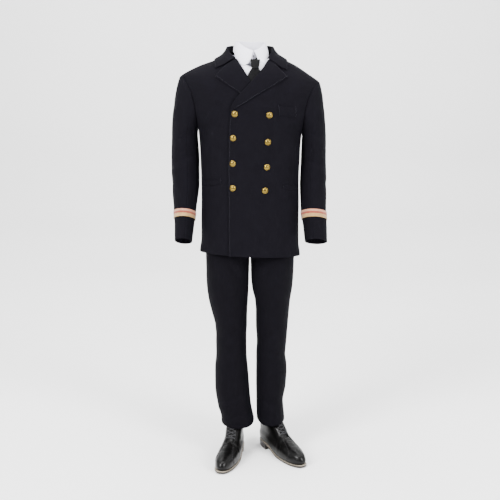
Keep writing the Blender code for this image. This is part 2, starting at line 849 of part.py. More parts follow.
# The collar's fold and outer edge from the right front end round the back to the left.
COLLAR_STATIONS = Table(
    "order fold_x fold_y fold_z edge_x edge_y edge_z",
    (0, -0.0555, -0.0800, 1.5290, -0.1300, -0.0870, 1.4914),
    (1, -0.0800, -0.0400, 1.5540, -0.1330, -0.0500, 1.5140),
    (2, -0.0880, 0.0020, 1.5700, -0.1300, 0.0050, 1.5290),
    (3, -0.0780, 0.0440, 1.5790, -0.1180, 0.0660, 1.5240),
    (4, -0.0450, 0.0700, 1.5840, -0.0700, 0.0980, 1.5230),
    (5, 0.0000, 0.0790, 1.5855, 0.0000, 0.1070, 1.5220),
    (6, 0.0450, 0.0700, 1.5840, 0.0700, 0.0980, 1.5230),
    (7, 0.0780, 0.0440, 1.5790, 0.1180, 0.0660, 1.5240),
    (8, 0.0880, 0.0020, 1.5700, 0.1330, 0.0050, 1.5280),
    (9, 0.0820, -0.0400, 1.5540, 0.1390, -0.0500, 1.5110),
    (10, 0.0640, -0.0800, 1.5270, 0.1390, -0.0830, 1.4890),
)


def grid_normals(grid, outward, ring=False):
    """Normals of a grid of points, each turned to the side that outward gives for its place."""
    rows = len(grid)
    columns = len(grid[0])
    result = []
    for i in range(rows):
        row = []
        for j in range(columns):
            up = grid[min(i + 1, rows - 1)][j] - grid[max(i - 1, 0)][j]
            if ring:
                across = grid[i][(j + 1) % columns] - grid[i][j - 1]
            else:
                across = grid[i][min(j + 1, columns - 1)] - grid[i][max(j - 1, 0)]
            normal = across.cross(up).normalized()
            row.append(normal if normal.dot(outward(grid[i][j])) > 0 else -normal)
        result.append(row)
    return result


def from_neck(point):
    """Out from the neck and up."""
    return Vector((point.x, point.y - 0.01, 0.03))


def make_coat_collar():
    outer = []
    steps = spread(20, 0, 10)
    for order in steps:
        station = [COLLAR_STATIONS.at(order, name) for name in COLLAR_STATIONS.columns[1:]]
        fold = Vector(station[:3])
        edge = Vector(station[3:])
        out = Vector((edge.x, edge.y, 0)) - Vector((fold.x, fold.y, 0))
        nearness = max(0.0, 1 - min(order, 10 - order) / 1.4)
        row = []
        for share in spread(4):
            point = fold.lerp(edge, share)
            bow = 0.004 - 0.0065 * soft_step(abs(order - 5), 1.0, 2.5)
            point += (out.normalized() + Vector((0, 0, 1))) * bow * share * (1 - share) * 4 * (1 - nearness)
            shape = LAPELS[LEFT if order > 5 else RIGHT]
            notch_share = 0.56
            dip = 1 - abs(share - notch_share) / (notch_share if share < notch_share else 1 - notch_share)
            straight = blend(fold.z, edge.z, notch_share)
            point.z += (shape["notch"][1] + 0.0012 - straight) * dip * nearness
            row.append(point)
        outer.append(row)
    for row in outer:
        for point in row:
            point.z = settle(point).z
    normals = grid_normals(outer, from_neck)
    below = ("jacket_front_right", "jacket_front_left", "jacket_back_right", "jacket_back_left")
    for i, row in enumerate(outer):
        for j, point in enumerate(row):
            tight = j >= 3 or (i in (0, len(outer) - 1) and j > 0)
            want = LAYER + 0.0020 + 0.001 * (4 - j)
            nearest = [surfaces[name].find_nearest(point) for name in below]
            near, direction, _, distance = min(nearest, key=lambda found: found[3])
            height = (point - near).dot(direction)
            if j and distance < 0.03 and direction.dot(normals[i][j]) > 0.2 and (height < want or tight):
                row[j] = point + direction * (want - height)
    normals = grid_normals(outer, from_neck)
    shell("jacket_collar", outer, normals, COAT_CLOTH, "coat_wool", over=below, clear=WIDE_EASE)

    stand = []
    for order in spread(14, 1.4, 8.6):
        station = [COLLAR_STATIONS.at(order, name) for name in COLLAR_STATIONS.columns[1:4]]
        fold = Vector(station)
        inward = Vector((-fold.x, 0.01 - fold.y, 0)).normalized()
        top = settle(fold + inward * (COAT_CLOTH - 0.0012) + Vector((0, 0, -0.0035)))
        foot = settle(Vector((fold.x * 0.94, fold.y * 0.94, 1.5545)) + inward * 0.002)
        stand.append([top, foot])
    outward = lambda point: Vector((point.x, point.y - 0.01, 0))
    normals = grid_normals(stand, outward)
    shell("jacket_collar_stand", stand, normals, COAT_CLOTH * 0.6, "coat_wool", over=below)


def sleeve_columns(part):
    """The angles of a sleeve part's columns, in degrees, which meet the body's rows at the armhole."""
    whole = set(ARMHOLE_STATIONS[FRONT])
    for degrees in ARMHOLE_STATIONS[BACK]:
        whole.update((360 - degrees, -degrees))
    low, high = SLEEVE_FRONT_SEAM, SLEEVE_BACK_SEAM
    if part == "top":
        low, high = SLEEVE_BACK_SEAM - 360, SLEEVE_FRONT_SEAM
    return [degrees for degrees in sorted(whole) if low <= degrees <= high and degrees != 360]


SEAM_DEGREES = 0.12
SLEEVE_ROWS = [0.0, 0.08, 0.22, 0.45, 0.72] + spread(6, 1.0, 2.0)


def make_coat_sleeves():
    for side in (RIGHT, LEFT):
        sleeve = COAT_SLEEVES[side]
        for part in ("top", "under"):
            degrees = sleeve_columns(part)
            degrees[0] += SEAM_DEGREES
            degrees[-1] -= SEAM_DEGREES
            places = [[(math.radians(angle), down) for angle in degrees] for down in SLEEVE_ROWS]
            name = f"jacket_sleeve_{part}_{SIDE_NAMES[side]}"
            from_surface(name, sleeve, places, flat_lifts(places), COAT_CLOTH, "coat_wool")


# The cuff's lace: how far up the sleeve each strip's two edges lie, from the end of the sleeve.
CUFF_LACE = {
    "gold_upper": (0.1000, 0.1080, "braid_gold"),
    "red": (0.0932, 0.0997, "braid_red"),
    "gold_lower": (0.0800, 0.0929, "braid_gold"),
}


def make_braid():
    for side in (RIGHT, LEFT):
        sleeve = COAT_SLEEVES[side]
        length = sleeve.sections.keys[-1] - sleeve.sections.keys[0]
        around = [math.radians(degrees) for degrees in sleeve_columns("top") + sleeve_columns("under")[1:-1]]
        for lace, (low, high, kind) in CUFF_LACE.items():
            downs = [2 - high / length, 2 - low / length]
            places = [[(angle, down) for angle in around] for down in downs]
            name = f"cuff_lace_{lace}_{SIDE_NAMES[side]}"
            lifts = flat_lifts(places, BRAID_CLOTH + WIDE_EASE)
            from_surface(name, sleeve, places, lifts, BRAID_CLOTH, kind, ring=True)


# Pocket welts as front views: the four corners' x and height, from the lower inner one round.
POCKETS = {
    "breast_pocket_welt": ((0.106, 1.3292), (0.168, 1.3282), (0.167, 1.3615), (0.100, 1.3643)),
    "hip_pocket_welt_right": ((-0.181, 1.0600), (-0.105, 1.0700), (-0.106, 1.0890), (-0.182, 1.0790)),
    "hip_pocket_welt_left": ((0.122, 1.0630), (0.181, 1.0575), (0.182, 1.0755), (0.123, 1.0775)),
}


def make_pockets():
    for name, corners in POCKETS.items():
        turns = [COAT.place(*corner) for corner in corners]
        places = []
        for up in (0.0, 1.0):
            start = [blend(turns[0][i], turns[3][i], up) for i in range(2)]
            end = [blend(turns[1][i], turns[2][i], up) for i in range(2)]
            row = [(blend(start[0], end[0], s), blend(start[1], end[1], s), FRONT) for s in spread(5)]
            places.append(row)
        extra = front_lift if corners[0][0] > 0 else lambda spot: 0.0
        lifts = [[LAYER + 0.0006 + extra(COAT.point(*place)) for place in row] for row in places]
        below = ("jacket_front_left",) if corners[0][0] > 0 else ("jacket_front_right",)
        from_surface(name, COAT, places, lifts, COAT_CLOTH, "coat_wool", over=below, clear=0.0010)


# The buttons' x and height, down each column.
BUTTON_PLACES = {
    "a": ((-0.0555, 1.3256), (-0.0620, 1.2393), (-0.0640, 1.1462), (-0.0640, 1.0562)),
    "b": ((0.0710, 1.3270), (0.0660, 1.2298), (0.0630, 1.1387), (0.0560, 1.0524)),
}
BUTTON_DOME = Table(
    "order radius height",
    (0, 0.0040, 0.0000),
    (1, 0.0112, 0.0016),
    (2, 0.0112, 0.0038),
    (3, 0.0080, 0.0062),
    (4, 0.0030, 0.0076),
)


# Where a button's underside is tried against the cloth: how far out from its middle, and how high.
BUTTON_FOOT = ((0.0010, 0.0), (0.0040, 0.0), (0.0076, 0.0008), (0.0112, 0.0016))


def make_buttons():
    for column, places in BUTTON_PLACES.items():
        for row, (x, height) in enumerate(places, 1):
            turn, fall = COAT.place(x, height)
            start = settle(COAT.point(turn, fall, FRONT))
            near, direction, _, _ = surfaces["jacket_front_left"].find_nearest(start + Vector((0, -0.01, 0)))
            side = direction.cross(Vector((0, 0, 1))).normalized()
            up = side.cross(direction)
            count = 10
            lowest = 0.0
            for i in range(count):
                angle = 2 * HALF_TURN * i / count
                flat = side * math.cos(angle) + up * math.sin(angle)
                for radius, rise in BUTTON_FOOT:
                    spot = near + flat * radius + direction * rise
                    below, slope, _, _ = surfaces["jacket_front_left"].find_nearest(spot)
                    lowest = min(lowest, (spot - below).dot(slope))
            centre = near + direction * (EASE - lowest)
            points = []
            for step in BUTTON_DOME.keys:
                radius = BUTTON_DOME.at(step, "radius")
                rise = BUTTON_DOME.at(step, "height")
                for i in range(count):
                    angle = 2 * HALF_TURN * i / count
                    flat = side * math.cos(angle) + up * math.sin(angle)
                    points.append(centre + flat * radius + direction * rise)
            faces = [tuple(range(count)), tuple(range(len(points) - count, len(points)))]
            for ring in range(len(BUTTON_DOME.keys) - 1):
                for i in range(count):
                    j = (i + 1) % count
                    low = ring * count
                    faces.append((low + i, low + j, low + count + j, low + count + i))
            add_solid(f"button_{column}{row}", points, faces, "button_gilt")


SHIRT_HEM = 0.905
SHIRT_NECK_X = 0.066


def make_shirt():
    neck = SHIRT.place(SHIRT_NECK_X, SHIRT.shoulder_height(SHIRT_NECK_X))[0]
    neck_fall = SHIRT.fall_at(0.0, 1.492)
    for side in (RIGHT, LEFT):
        edge = -0.004 if side == LEFT else 0.020
        left = on_stops([SHIRT.place(edge, SHIRT_HEM), (SHIRT.place(edge, 1.49)[0], neck_fall)])
        start = left(1.0)
        outer = side_and_armhole(SHIRT, side, SHIRT_HEM, FRONT, 5)
        hollow = [start, (side * neck * 0.6, neck_fall * 0.72), (side * neck * 0.95, neck_fall * 0.3)]
        stops = hollow + [(side * neck, SEAM_GAP / 2), outer[-1]]
        neck_share = length_shares(stops)[-2]
        columns = spread(3, 0, neck_share) + spread(4, neck_share, 1)[1:]
        places = body_panel(SHIRT, left, outer, on_stops(stops), SHIRT_HEM, columns, FRONT)
        lifts = flat_lifts(places)
        over = ()
        if side == LEFT:
            over = ("shirt_front_right",)
            for i, row in enumerate(places):
                for j, place in enumerate(row):
                    spot = SHIRT.point(*place)
                    near_neck = 1 + 0.4 * soft_step(spot.z, 1.44, 1.47)
                    lifts[i][j] = SHIRT_LAYER * near_neck * (1 - soft_step(spot.x, 0.034, 0.065))
        name = f"shirt_front_{SIDE_NAMES[side]}"
        from_surface(name, SHIRT, places, lifts, SHIRT_CLOTH, "shirt_cotton", over=over, clear=0.0030)

    neck_fall = SHIRT.fall_at(0.0, 1.545)
    left = on_stops(side_and_armhole(SHIRT, RIGHT, SHIRT_HEM, BACK, 5))
    outer = side_and_armhole(SHIRT, LEFT, SHIRT_HEM, BACK, 5)
    hollow = [left(1.0), (-neck, SEAM_GAP / 2), (-neck * 0.6, neck_fall * 0.8), (0.0, neck_fall)]
    hollow += [(neck * 0.6, neck_fall * 0.8), (neck, SEAM_GAP / 2), outer[-1]]
    share = length_shares(hollow)[1]
    columns = spread(4, 0, share) + spread(4, share, 1 - share)[1:] + spread(4, 1 - share, 1)[1:]
    places = body_panel(SHIRT, left, outer, on_stops(hollow), SHIRT_HEM, columns, BACK)
    from_surface("shirt_back", SHIRT, places, flat_lifts(places), SHIRT_CLOTH, "shirt_cotton")

    for side in (RIGHT, LEFT):
        sleeve = shirt_sleeve(side)
        around = [math.radians(degrees) for degrees in sleeve_columns("top") + sleeve_columns("under")[1:-1]]
        downs = [0.0, 0.15, 0.32, 0.55, 1.0, 1.25, 1.5, 1.75, 2.0]
        places = [[(angle, down) for angle in around] for down in downs]
        name = f"shirt_sleeve_{SIDE_NAMES[side]}"
        from_surface(name, sleeve, places, flat_lifts(places), SHIRT_CLOTH, "shirt_cotton", ring=True)


# The shirt's collar in rings round the neck, at angles from its opening.
NECK_X_CENTRE = 0.001
NECK_Y_CENTRE = 0.000
COLLAR_OPENING = 13.0
BAND_EASE = 0.0005
NECK_RINGS = Table(
    "angle width depth foot fold edge",
    (0, 0.0500, 0.0660, 1.5040, 1.5560, 1.5110),
    (15, 0.0504, 0.0656, 1.5110, 1.5610, 1.5070),
    (35, 0.0510, 0.0650, 1.5230, 1.5700, 1.5035),
    (50, 0.0513, 0.0645, 1.5305, 1.5790, 1.5145),
    (60, 0.0515, 0.0640, 1.5360, 1.5850, 1.5275),
    (75, 0.0518, 0.0630, 1.5420, 1.5900, 1.5480),
    (90, 0.0520, 0.0620, 1.5470, 1.5940, 1.5550),
    (135, 0.0520, 0.0590, 1.5500, 1.5980, 1.5620),
    (180, 0.0520, 0.0580, 1.5456, 1.5990, 1.5610),
)


def neck_point(angle, out, height):
    """A point round the neck, at an angle from the collar's opening in degrees."""
    column = lambda name: NECK_RINGS.at(abs(angle), name)
    turn = math.radians(angle + COLLAR_OPENING)
    x = NECK_X_CENTRE + (column("width") + out) * math.sin(turn)
    y = NECK_Y_CENTRE - (column("depth") + out) * math.cos(turn)
    return settle(Vector((x, y, height)))


def make_shirt_collar():
    level = lambda point: Vector((point.x - NECK_X_CENTRE, point.y - NECK_Y_CENTRE, 0))
    stand = []
    fall = []
    band = []
    for angle in spread(24, -177.0, 177.0):
        spot = -(180 + angle) if angle < 0 else 180 - angle
        foot = NECK_RINGS.at(abs(spot), "foot")
        fold = NECK_RINGS.at(abs(spot), "fold")
        stand.append([neck_point(spot, 0.0, blend(foot, fold, s)) for s in (0.0, 0.5, 0.94)])
        round_side = soft_step(abs(spot), 0.0, 45.0)
        shares = (blend(0.10, 0.35, round_side), blend(0.38, 0.70, round_side))
        band.append([neck_point(spot, TIE_CLOTH + BAND_EASE, blend(foot, fold, s)) for s in shares])
    for angle in spread(24, -177.0, 177.0):
        spot = -(180 + angle) if angle < 0 else 180 - angle
        fold = NECK_RINGS.at(abs(spot), "fold")
        edge = NECK_RINGS.at(abs(spot), "edge")
        near_end = max(0.0, 1 - (abs(spot) - 3.0) / 24.0)
        depth = (fold - edge) * (0.42 + 0.58 * math.sqrt(1 - min(1.0, near_end) ** 2))
        depth *= 1 - 0.30 * soft_step(spot, 40.0, 58.0) * soft_step(spot, 115.0, 85.0)
        flare = 0.24 - 0.14 * soft_step(abs(spot), 95.0, 140.0)
        flare += 0.19 * max(0.0, math.cos(math.radians(spot)))
        flare += 0.07 * soft_step(spot, 15.0, 40.0) * soft_step(spot, 115.0, 85.0)
        row = []
        for share in (0.0, 0.3, 0.65, 1.0):
            out = TIE_CLOTH + SHIRT_CLOTH + 0.6 * BAND_EASE + depth * share * flare
            slant = math.copysign(5.0 * near_end * share, spot)
            row.append(neck_point(spot + slant, out, fold - depth * share))
        fall.append(row)
    shell("shirt_collar_stand", stand, grid_normals(stand, level), SHIRT_CLOTH, "shirt_cotton")
    shell("tie_band", band, grid_normals(band, level), TIE_CLOTH, "tie_silk", over=("shirt_collar_stand",))
    normals = grid_normals(fall, level)
    below = ("tie_band", "shirt_front_right", "shirt_front_left", "shirt_back")
    shell("shirt_collar", fall, normals, SHIRT_CLOTH, "shirt_cotton", over=below, clear=0.0016)


TIE_KNOT = Table(
    "height half_width front back",
    (1.4900, 0.0132, -0.1140, -0.1035),
    (1.5050, 0.0152, -0.1105, -0.0980),
    (1.5160, 0.0168, -0.1060, -0.0915),
    (1.5240, 0.0180, -0.1000, -0.0830),
)
KNOT_CLOTH = 0.0012
TIE_BLADE = Table(
    "height half_width lift",
    (1.1800, 0.0340, 0.0000),
    (1.3300, 0.0320, 0.0000),
    (1.4200, 0.0300, 0.0000),
    (1.4600, 0.0262, 0.0005),
    (1.4740, 0.0215, 0.0030),
    (1.4830, 0.0150, 0.0060),
)


def make_tie():
    centre = 0.0185
    places = []
    lifts = []
    for height in spread(10, 1.180, 1.4790):
        half = TIE_BLADE.at(height, "half_width")
        middle = blend(0.004, centre, soft_step(height, 1.36, 1.49))
        places.append([(*SHIRT.place(middle + half * share, height), FRONT) for share in spread(4, -1, 1)])
        lift = SHIRT_LAYER + TIE_CLOTH + EASE + TIE_BLADE.at(height, "lift")
        lifts.append([lift] * 5)
    over = ("shirt_front_left", "shirt_front_right")
    from_surface("tie_blade", SHIRT, places, lifts, TIE_CLOTH, "tie_silk", over=over)
    knot = []
    for height in spread(4, 1.4900, 1.5240):
        half = TIE_KNOT.at(height, "half_width")
        front = TIE_KNOT.at(height, "front")
        back = TIE_KNOT.at(height, "back")
        row = []
        for angle in spread(18, 0, 2 * HALF_TURN)[:-1]:
            x = centre + half * math.cos(angle)
            y = (front + back) / 2 - (back - front) / 2 * math.sin(angle)
            row.append(settle(Vector((x, y, height))))
        knot.append(row)
    middle = lambda height: (TIE_KNOT.at(height, "front") + TIE_KNOT.at(height, "back")) / 2
    level = lambda point: Vector((point.x - centre, point.y - middle(point.z + LEAN * point.x), 0))
    shell("tie_knot", knot, grid_normals(knot, level, ring=True), KNOT_CLOTH, "tie_silk", ring=True)


TROUSER_WAIST = 0.9975
BAND_TOP = 1.0350


def trouser_hem(across, way):
    """The hem rests lower on the boot in front, and rises towards the inner seam."""
    rise = 0.010 * max(0.0, 1 - across / 0.35) ** 2
    return 0.1290 + rise - (0.009 if way == FRONT else 0.002) * math.sin(math.pi * across)


def make_trousers():
    legs = Legs()
    for side in (RIGHT, LEFT):
        for way in (FRONT, BACK):
            inset = 0.0014
            columns = spread(7, inset, 1 - inset)
            places = []
            for up in spread(15):
                row = [(side, s, blend(trouser_hem(s, way), TROUSER_WAIST, up), way) for s in columns]
                places.append(row)
            name = f"trouser_{'front' if way == FRONT else 'back'}_{SIDE_NAMES[side]}"
            lifts = flat_lifts(places)
            from_surface(name, legs, places, lifts, TROUSER_CLOTH, "trouser_wool", tilt=False)
    places = []
    for height in (TROUSER_WAIST + SEAM_GAP, BAND_TOP):
        row = []
        for side, way, order in ((LEFT, FRONT, 1), (LEFT, BACK, -1), (RIGHT, BACK, 1), (RIGHT, FRONT, -1)):
            shares = spread(5)[::order]
            row += [(side, share, height, way) for share in shares[:-1]]
        places.append(row)
    from_surface("waistband", legs, places, flat_lifts(places), TROUSER_CLOTH, "trouser_wool", True, False)
    fly = []
    for height in spread(4, 0.860, TROUSER_WAIST - 0.001):
        fly.append([(LEFT, share, height, FRONT) for share in spread(2, 0.012, 0.17)])
    lifts = flat_lifts(fly, TROUSER_CLOTH + EASE)
    below = ("trouser_front_left",)
    from_surface("fly", legs, fly, lifts, TROUSER_CLOTH, "trouser_wool", tilt=False, over=below)


VAMP_EDGE = Table(
    "share degrees",
    (0.00, 62.0),
    (0.25, 50.0),
    (0.50, 34.0),
    (0.66, 22.0),
    (1.00, 15.0),
)
VAMP_TOP = 0.64
BOOT_ROWS = (0.0, 0.10, 0.22, 0.36, 0.50, VAMP_TOP)
SOLE_THICKNESS = 0.0073
SOLE_DROP = 0.0012


def make_boots():
    for side in (RIGHT, LEFT):
        boot = BOOTS[side]
        end = SIDE_NAMES[side]
        vamp = []
        for share in BOOT_ROWS:
            limit = math.radians(VAMP_EDGE.at(share, "degrees")) - 0.006
            vamp.append([(angle, share) for angle in spread(8, -limit, limit)])
        lifts = flat_lifts(vamp)
        from_surface(f"boot_vamp_{end}", boot, vamp, lifts, BOOT_LEATHER, "boot_leather", tilt=False)
        quarters = []
        for share in BOOT_ROWS + (0.76, 0.88, 1.0):
            limit = math.radians(VAMP_EDGE.at(share, "degrees")) + 0.006
            quarters.append([(angle, share) for angle in spread(14, limit, 2 * HALF_TURN - limit)])
        name = f"boot_quarters_{end}"
        from_surface(name, boot, quarters, flat_lifts(quarters), BOOT_LEATHER, "boot_leather", False, False)
        tongue = []
        for share in (VAMP_TOP + 0.025, 0.76, 0.88, 0.99):
            tongue.append([(angle, share) for angle in spread(4, -0.50, 0.50)])
        lifts = flat_lifts(tongue, -BOOT_LEATHER - 0.0022)
        leather = BOOT_LEATHER * 0.7
        from_surface(f"boot_tongue_{end}", boot, tongue, lifts, leather, "boot_leather", tilt=False)
        make_sole(boot, end)
        make_lace(boot, end)


def make_sole(boot, end):
    """The sole's plate follows the foot's bed, and the heel's block stands below its back."""
    margin = 0.0045
    stations = [0.0, 0.006, 0.020, 0.045, 0.078, 0.110, 0.145, 0.180, 0.215, 0.245, 0.268, 0.282, 0.2905]
    up = Vector((0, 0, 1))

    def half_width(along):
        middle = (0.2830 + 0.0040) / 2
        half = (0.2830 - 0.0040) / 2 + margin
        reach = max(0.0, 1 - abs((along - margin - middle + 0.001) / half) ** (1 / 0.43))
        return 0.0430 * Boot.outline.at(along, "width") * reach**0.43 + margin * 0.9

    top = []
    for along in stations:
        width = half_width(along)
        height = Boot.bed.at(along, "height") - SOLE_DROP
        top.append([boot.local(along - 0.001, width * share, height) for share in spread(2, -1, 1)])
    normals = [[up for _ in row] for row in top]
    shell(f"boot_sole_{end}", top, normals, SOLE_THICKNESS, "sole_leather")
    block = []
    foot = []
    for along in (0.0, 0.006, 0.020, 0.045, 0.074):
        width = half_width(along)
        height = Boot.bed.at(along, "height") - SOLE_DROP - SEAM_GAP - SOLE_THICKNESS
        taper = 0.95
        block.append([boot.local(along - 0.001, width * s, height) for s in spread(2, -1, 1)])
        foot.append([boot.local(along - 0.001, width * s * taper, 0.0) for s in spread(2, -1, 1)])
    wall(f"boot_heel_{end}", block, foot, "sole_leather")


def make_lace(boot, end):
    """One flat lace that crosses from facing to facing up the front."""
    stops = [(0.36 if i % 2 else -0.36, share) for i, share in enumerate(spread(5, 0.70, 0.865))]
    lace = []
    normals = []
    width = Vector((0, 0, 0.0014))
    for (angle, share), (next_angle, next_share) in zip(stops, stops[1:]):
        for part in (0.0, 0.5):
            place = (blend(angle, next_angle, part), blend(share, next_share, part))
            point = boot.point(*place) + boot.normal(*place) * 0.0044
            lace.append([point - width, point + width])
            normals.append([boot.forward, boot.forward])
    shell(f"boot_lace_{end}", lace, normals, 0.0012, "tie_silk")


for old in list(bpy.data.objects):
    bpy.data.objects.remove(old)
root = bpy.data.objects.new("costume", None)
bpy.context.collection.objects.link(root)
root.location = (0.0, 0.0, -HOLD_HEIGHT)
make_coat_fronts()
make_coat_backs()
make_coat_collar()
make_coat_sleeves()
make_braid()
make_pockets()
make_buttons()
make_shirt()
make_shirt_collar()
make_tie()
make_trousers()
make_boots()
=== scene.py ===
"""Looks of an officer's uniform costume: double-breasted jacket, shirt, tie, trousers and ankle boots.

Every cut piece is a thin wall of cloth on its solid's own form, with rounded edges and its creases
placed one by one. Heights in the tables are metres above the floor that the boots stand on, and each
finished piece is lowered by HOLD_HEIGHT, so that the world's origin is where the wearer carries it.
-Y is the front and +X is the wearer's left.
"""

import math

import bmesh
import bpy
import numpy as np
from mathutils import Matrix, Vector
from mathutils.bvhtree import BVHTree


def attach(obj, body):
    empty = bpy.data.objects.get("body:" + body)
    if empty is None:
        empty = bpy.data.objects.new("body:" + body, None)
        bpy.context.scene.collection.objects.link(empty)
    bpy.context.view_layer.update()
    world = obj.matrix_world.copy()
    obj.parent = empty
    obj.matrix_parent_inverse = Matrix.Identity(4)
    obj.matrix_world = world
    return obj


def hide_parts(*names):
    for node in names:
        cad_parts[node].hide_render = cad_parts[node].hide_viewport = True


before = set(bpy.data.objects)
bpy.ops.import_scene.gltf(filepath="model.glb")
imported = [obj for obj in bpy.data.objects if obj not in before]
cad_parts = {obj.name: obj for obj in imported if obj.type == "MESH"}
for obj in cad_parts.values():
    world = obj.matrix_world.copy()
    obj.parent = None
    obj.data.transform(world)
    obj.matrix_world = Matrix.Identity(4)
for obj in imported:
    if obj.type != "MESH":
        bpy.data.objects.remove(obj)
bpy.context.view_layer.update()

# Sizes, in metres.
HOLD_HEIGHT = 1.520
COAT_CLOTH = 0.0024
TROUSER_CLOTH = 0.0018
SHIRT_CLOTH = 0.0012
LACE_CLOTH = 0.0012
TIE_CLOTH = 0.0016
BOOT_LEATHER = 0.0026
SHOULDER_Y = 0.005
ROUNDNESS = 2.3
LEAN = 0.043
NECK_RISE = 0.011
EASE = 0.0007
LAYER = COAT_CLOTH + EASE
WIDE_EASE = 0.0015
SHIRT_LAYER = SHIRT_CLOTH + 0.0030

RIGHT = -1
LEFT = 1
FRONT = -1
BACK = 1
SIDE_NAMES = {RIGHT: "right", LEFT: "left"}
HALF_TURN = math.pi
QUARTER_TURN = math.pi / 2


class Table:
    """Rows of named columns, read between the rows along a smooth curve through them."""

    def __init__(self, columns, *rows):
        self.columns = columns.split()
        self.rows = rows
        self.keys = [row[0] for row in rows]
        self.values = {name: [row[i] for row in rows] for i, name in enumerate(self.columns)}

    def at(self, key, name):
        keys = self.keys
        values = self.values[name]
        if key <= keys[0]:
            return values[0]
        if key >= keys[-1]:
            return values[-1]
        i = max(j for j in range(len(keys) - 1) if keys[j] <= key)
        step = keys[i + 1] - keys[i]
        share = (key - keys[i]) / step
        start = self.slope(i, values) * step
        end = self.slope(i + 1, values) * step
        rise = values[i + 1] - values[i]
        square = share**2
        cube = share**3
        curve = rise * (3 * square - 2 * cube) + start * (cube - 2 * square + share)
        return values[i] + curve + end * (cube - square)

    def slope(self, i, values):
        """The slope at a row, kept small enough that the curve never passes the rows beside it."""
        if i in (0, len(values) - 1):
            j = min(i, len(values) - 2)
            return (values[j + 1] - values[j]) / (self.keys[j + 1] - self.keys[j])
        before = (values[i] - values[i - 1]) / (self.keys[i] - self.keys[i - 1])
        after = (values[i + 1] - values[i]) / (self.keys[i + 1] - self.keys[i])
        if before * after <= 0:
            return 0.0
        return 2 * before * after / (before + after)


def blend(low, high, share):
    return low + (high - low) * share


def soft_step(value, start, end):
    """0 before start, 1 after end, and smooth between. The value may be an array."""
    share = np.clip((value - start) / (end - start), 0.0, 1.0)
    return share * share * (3 - 2 * share)


def drop(x, z):
    """The upper garments hang a little lower on the wearer's left, but less so beside the neck."""
    near = np.exp(-(((x - 0.130) / 0.075) ** 2))
    return LEAN * x - NECK_RISE * near * soft_step(z, 1.450, 1.510)


def spread(count, start=0.0, end=1.0):
    """Evenly spaced values from start to end, one more than count."""
    return [blend(start, end, i / count) for i in range(count + 1)]


def signed_power(value, power):
    return math.copysign(abs(value) ** power, value)


def along_line(stops, share):
    """A pair part of the way along a bent line, where each stop is (share, pair)."""
    for (start, low), (end, high) in zip(stops, stops[1:]):
        if share <= end:
            part = (share - start) / (end - start)
            return tuple(blend(a, b, part) for a, b in zip(low, high))
    return stops[-1][1]


def patch(left, right, bottom, top, across, up):
    """A pair inside four edges, each edge a function of 0 to 1 that gives a pair."""
    corners = (bottom(0.0), bottom(1.0), top(0.0), top(1.0))
    sides = (left(up), right(up), bottom(across), top(across))
    result = []
    for i in range(2):
        low = blend(corners[0][i], corners[1][i], across)
        high = blend(corners[2][i], corners[3][i], across)
        flat = blend(low, high, up)
        result.append(blend(sides[0][i], sides[1][i], across) + blend(sides[2][i], sides[3][i], up) - flat)
    return result


class Torso:
    """A garment's body: oval sections at each height, rounding over into the shoulder line at the top.

    A place on it is an angle round the body from the centre line and a fall below the shoulder line.
    """

    def __init__(self, sections, shoulder, armhole, round_over):
        self.sections = sections
        self.shoulder = shoulder
        self.armhole = armhole
        self.round_over = round_over

    def shoulder_height(self, x):
        return self.shoulder.at(abs(x), "height")

    def fall_at(self, x, height):
        """How far down the cloth a height is, from the shoulder line above it."""
        drop = max(0.0, self.shoulder_height(x) - height)
        if drop < self.round_over:
            return self.round_over * math.acos(1 - drop / self.round_over)
        return self.round_over * (QUARTER_TURN - 1) + drop

    def place(self, x, height):
        """The angle and the fall of the place at x and a height."""
        share = min(1.0, abs(x) / self.sections.at(height, "half_width"))
        return math.copysign(math.asin(share ** (ROUNDNESS / 2)), x), self.fall_at(x, height)

    def point(self, turn, fall, way):
        if fall < 0:
            return self.point(turn, -fall, -way)
        if abs(turn) > QUARTER_TURN:
            return self.point(math.copysign(HALF_TURN - abs(turn), turn), fall, -way)
        angle = min(fall / self.round_over, QUARTER_TURN)
        drop = self.round_over * (1 - math.cos(angle)) + max(0.0, fall - self.round_over * QUARTER_TURN)
        height = self.shoulder_height(0.1) - drop
        share = signed_power(math.sin(turn), 2 / ROUNDNESS)
        for _ in range(16):
            x = self.sections.at(height, "half_width") * share
            height = blend(height, self.shoulder_height(x) - drop, 0.8)
        depth = self.sections.at(height, "front" if way == FRONT else "back")
        reach = depth * signed_power(math.cos(turn), 2 / ROUNDNESS) * math.sin(angle)
        return Vector((x, SHOULDER_Y + way * reach, height))

    def normal(self, turn, fall, way):
        step = 0.004
        across = self.point(turn + step, fall, way) - self.point(turn - step, fall, way)
        down = self.point(turn, fall + step, way) - self.point(turn, fall - step, way)
        return (down.cross(across) * way * -1).normalized()

    def armhole_place(self, height):
        return self.place(self.armhole.at(height, "x"), height)


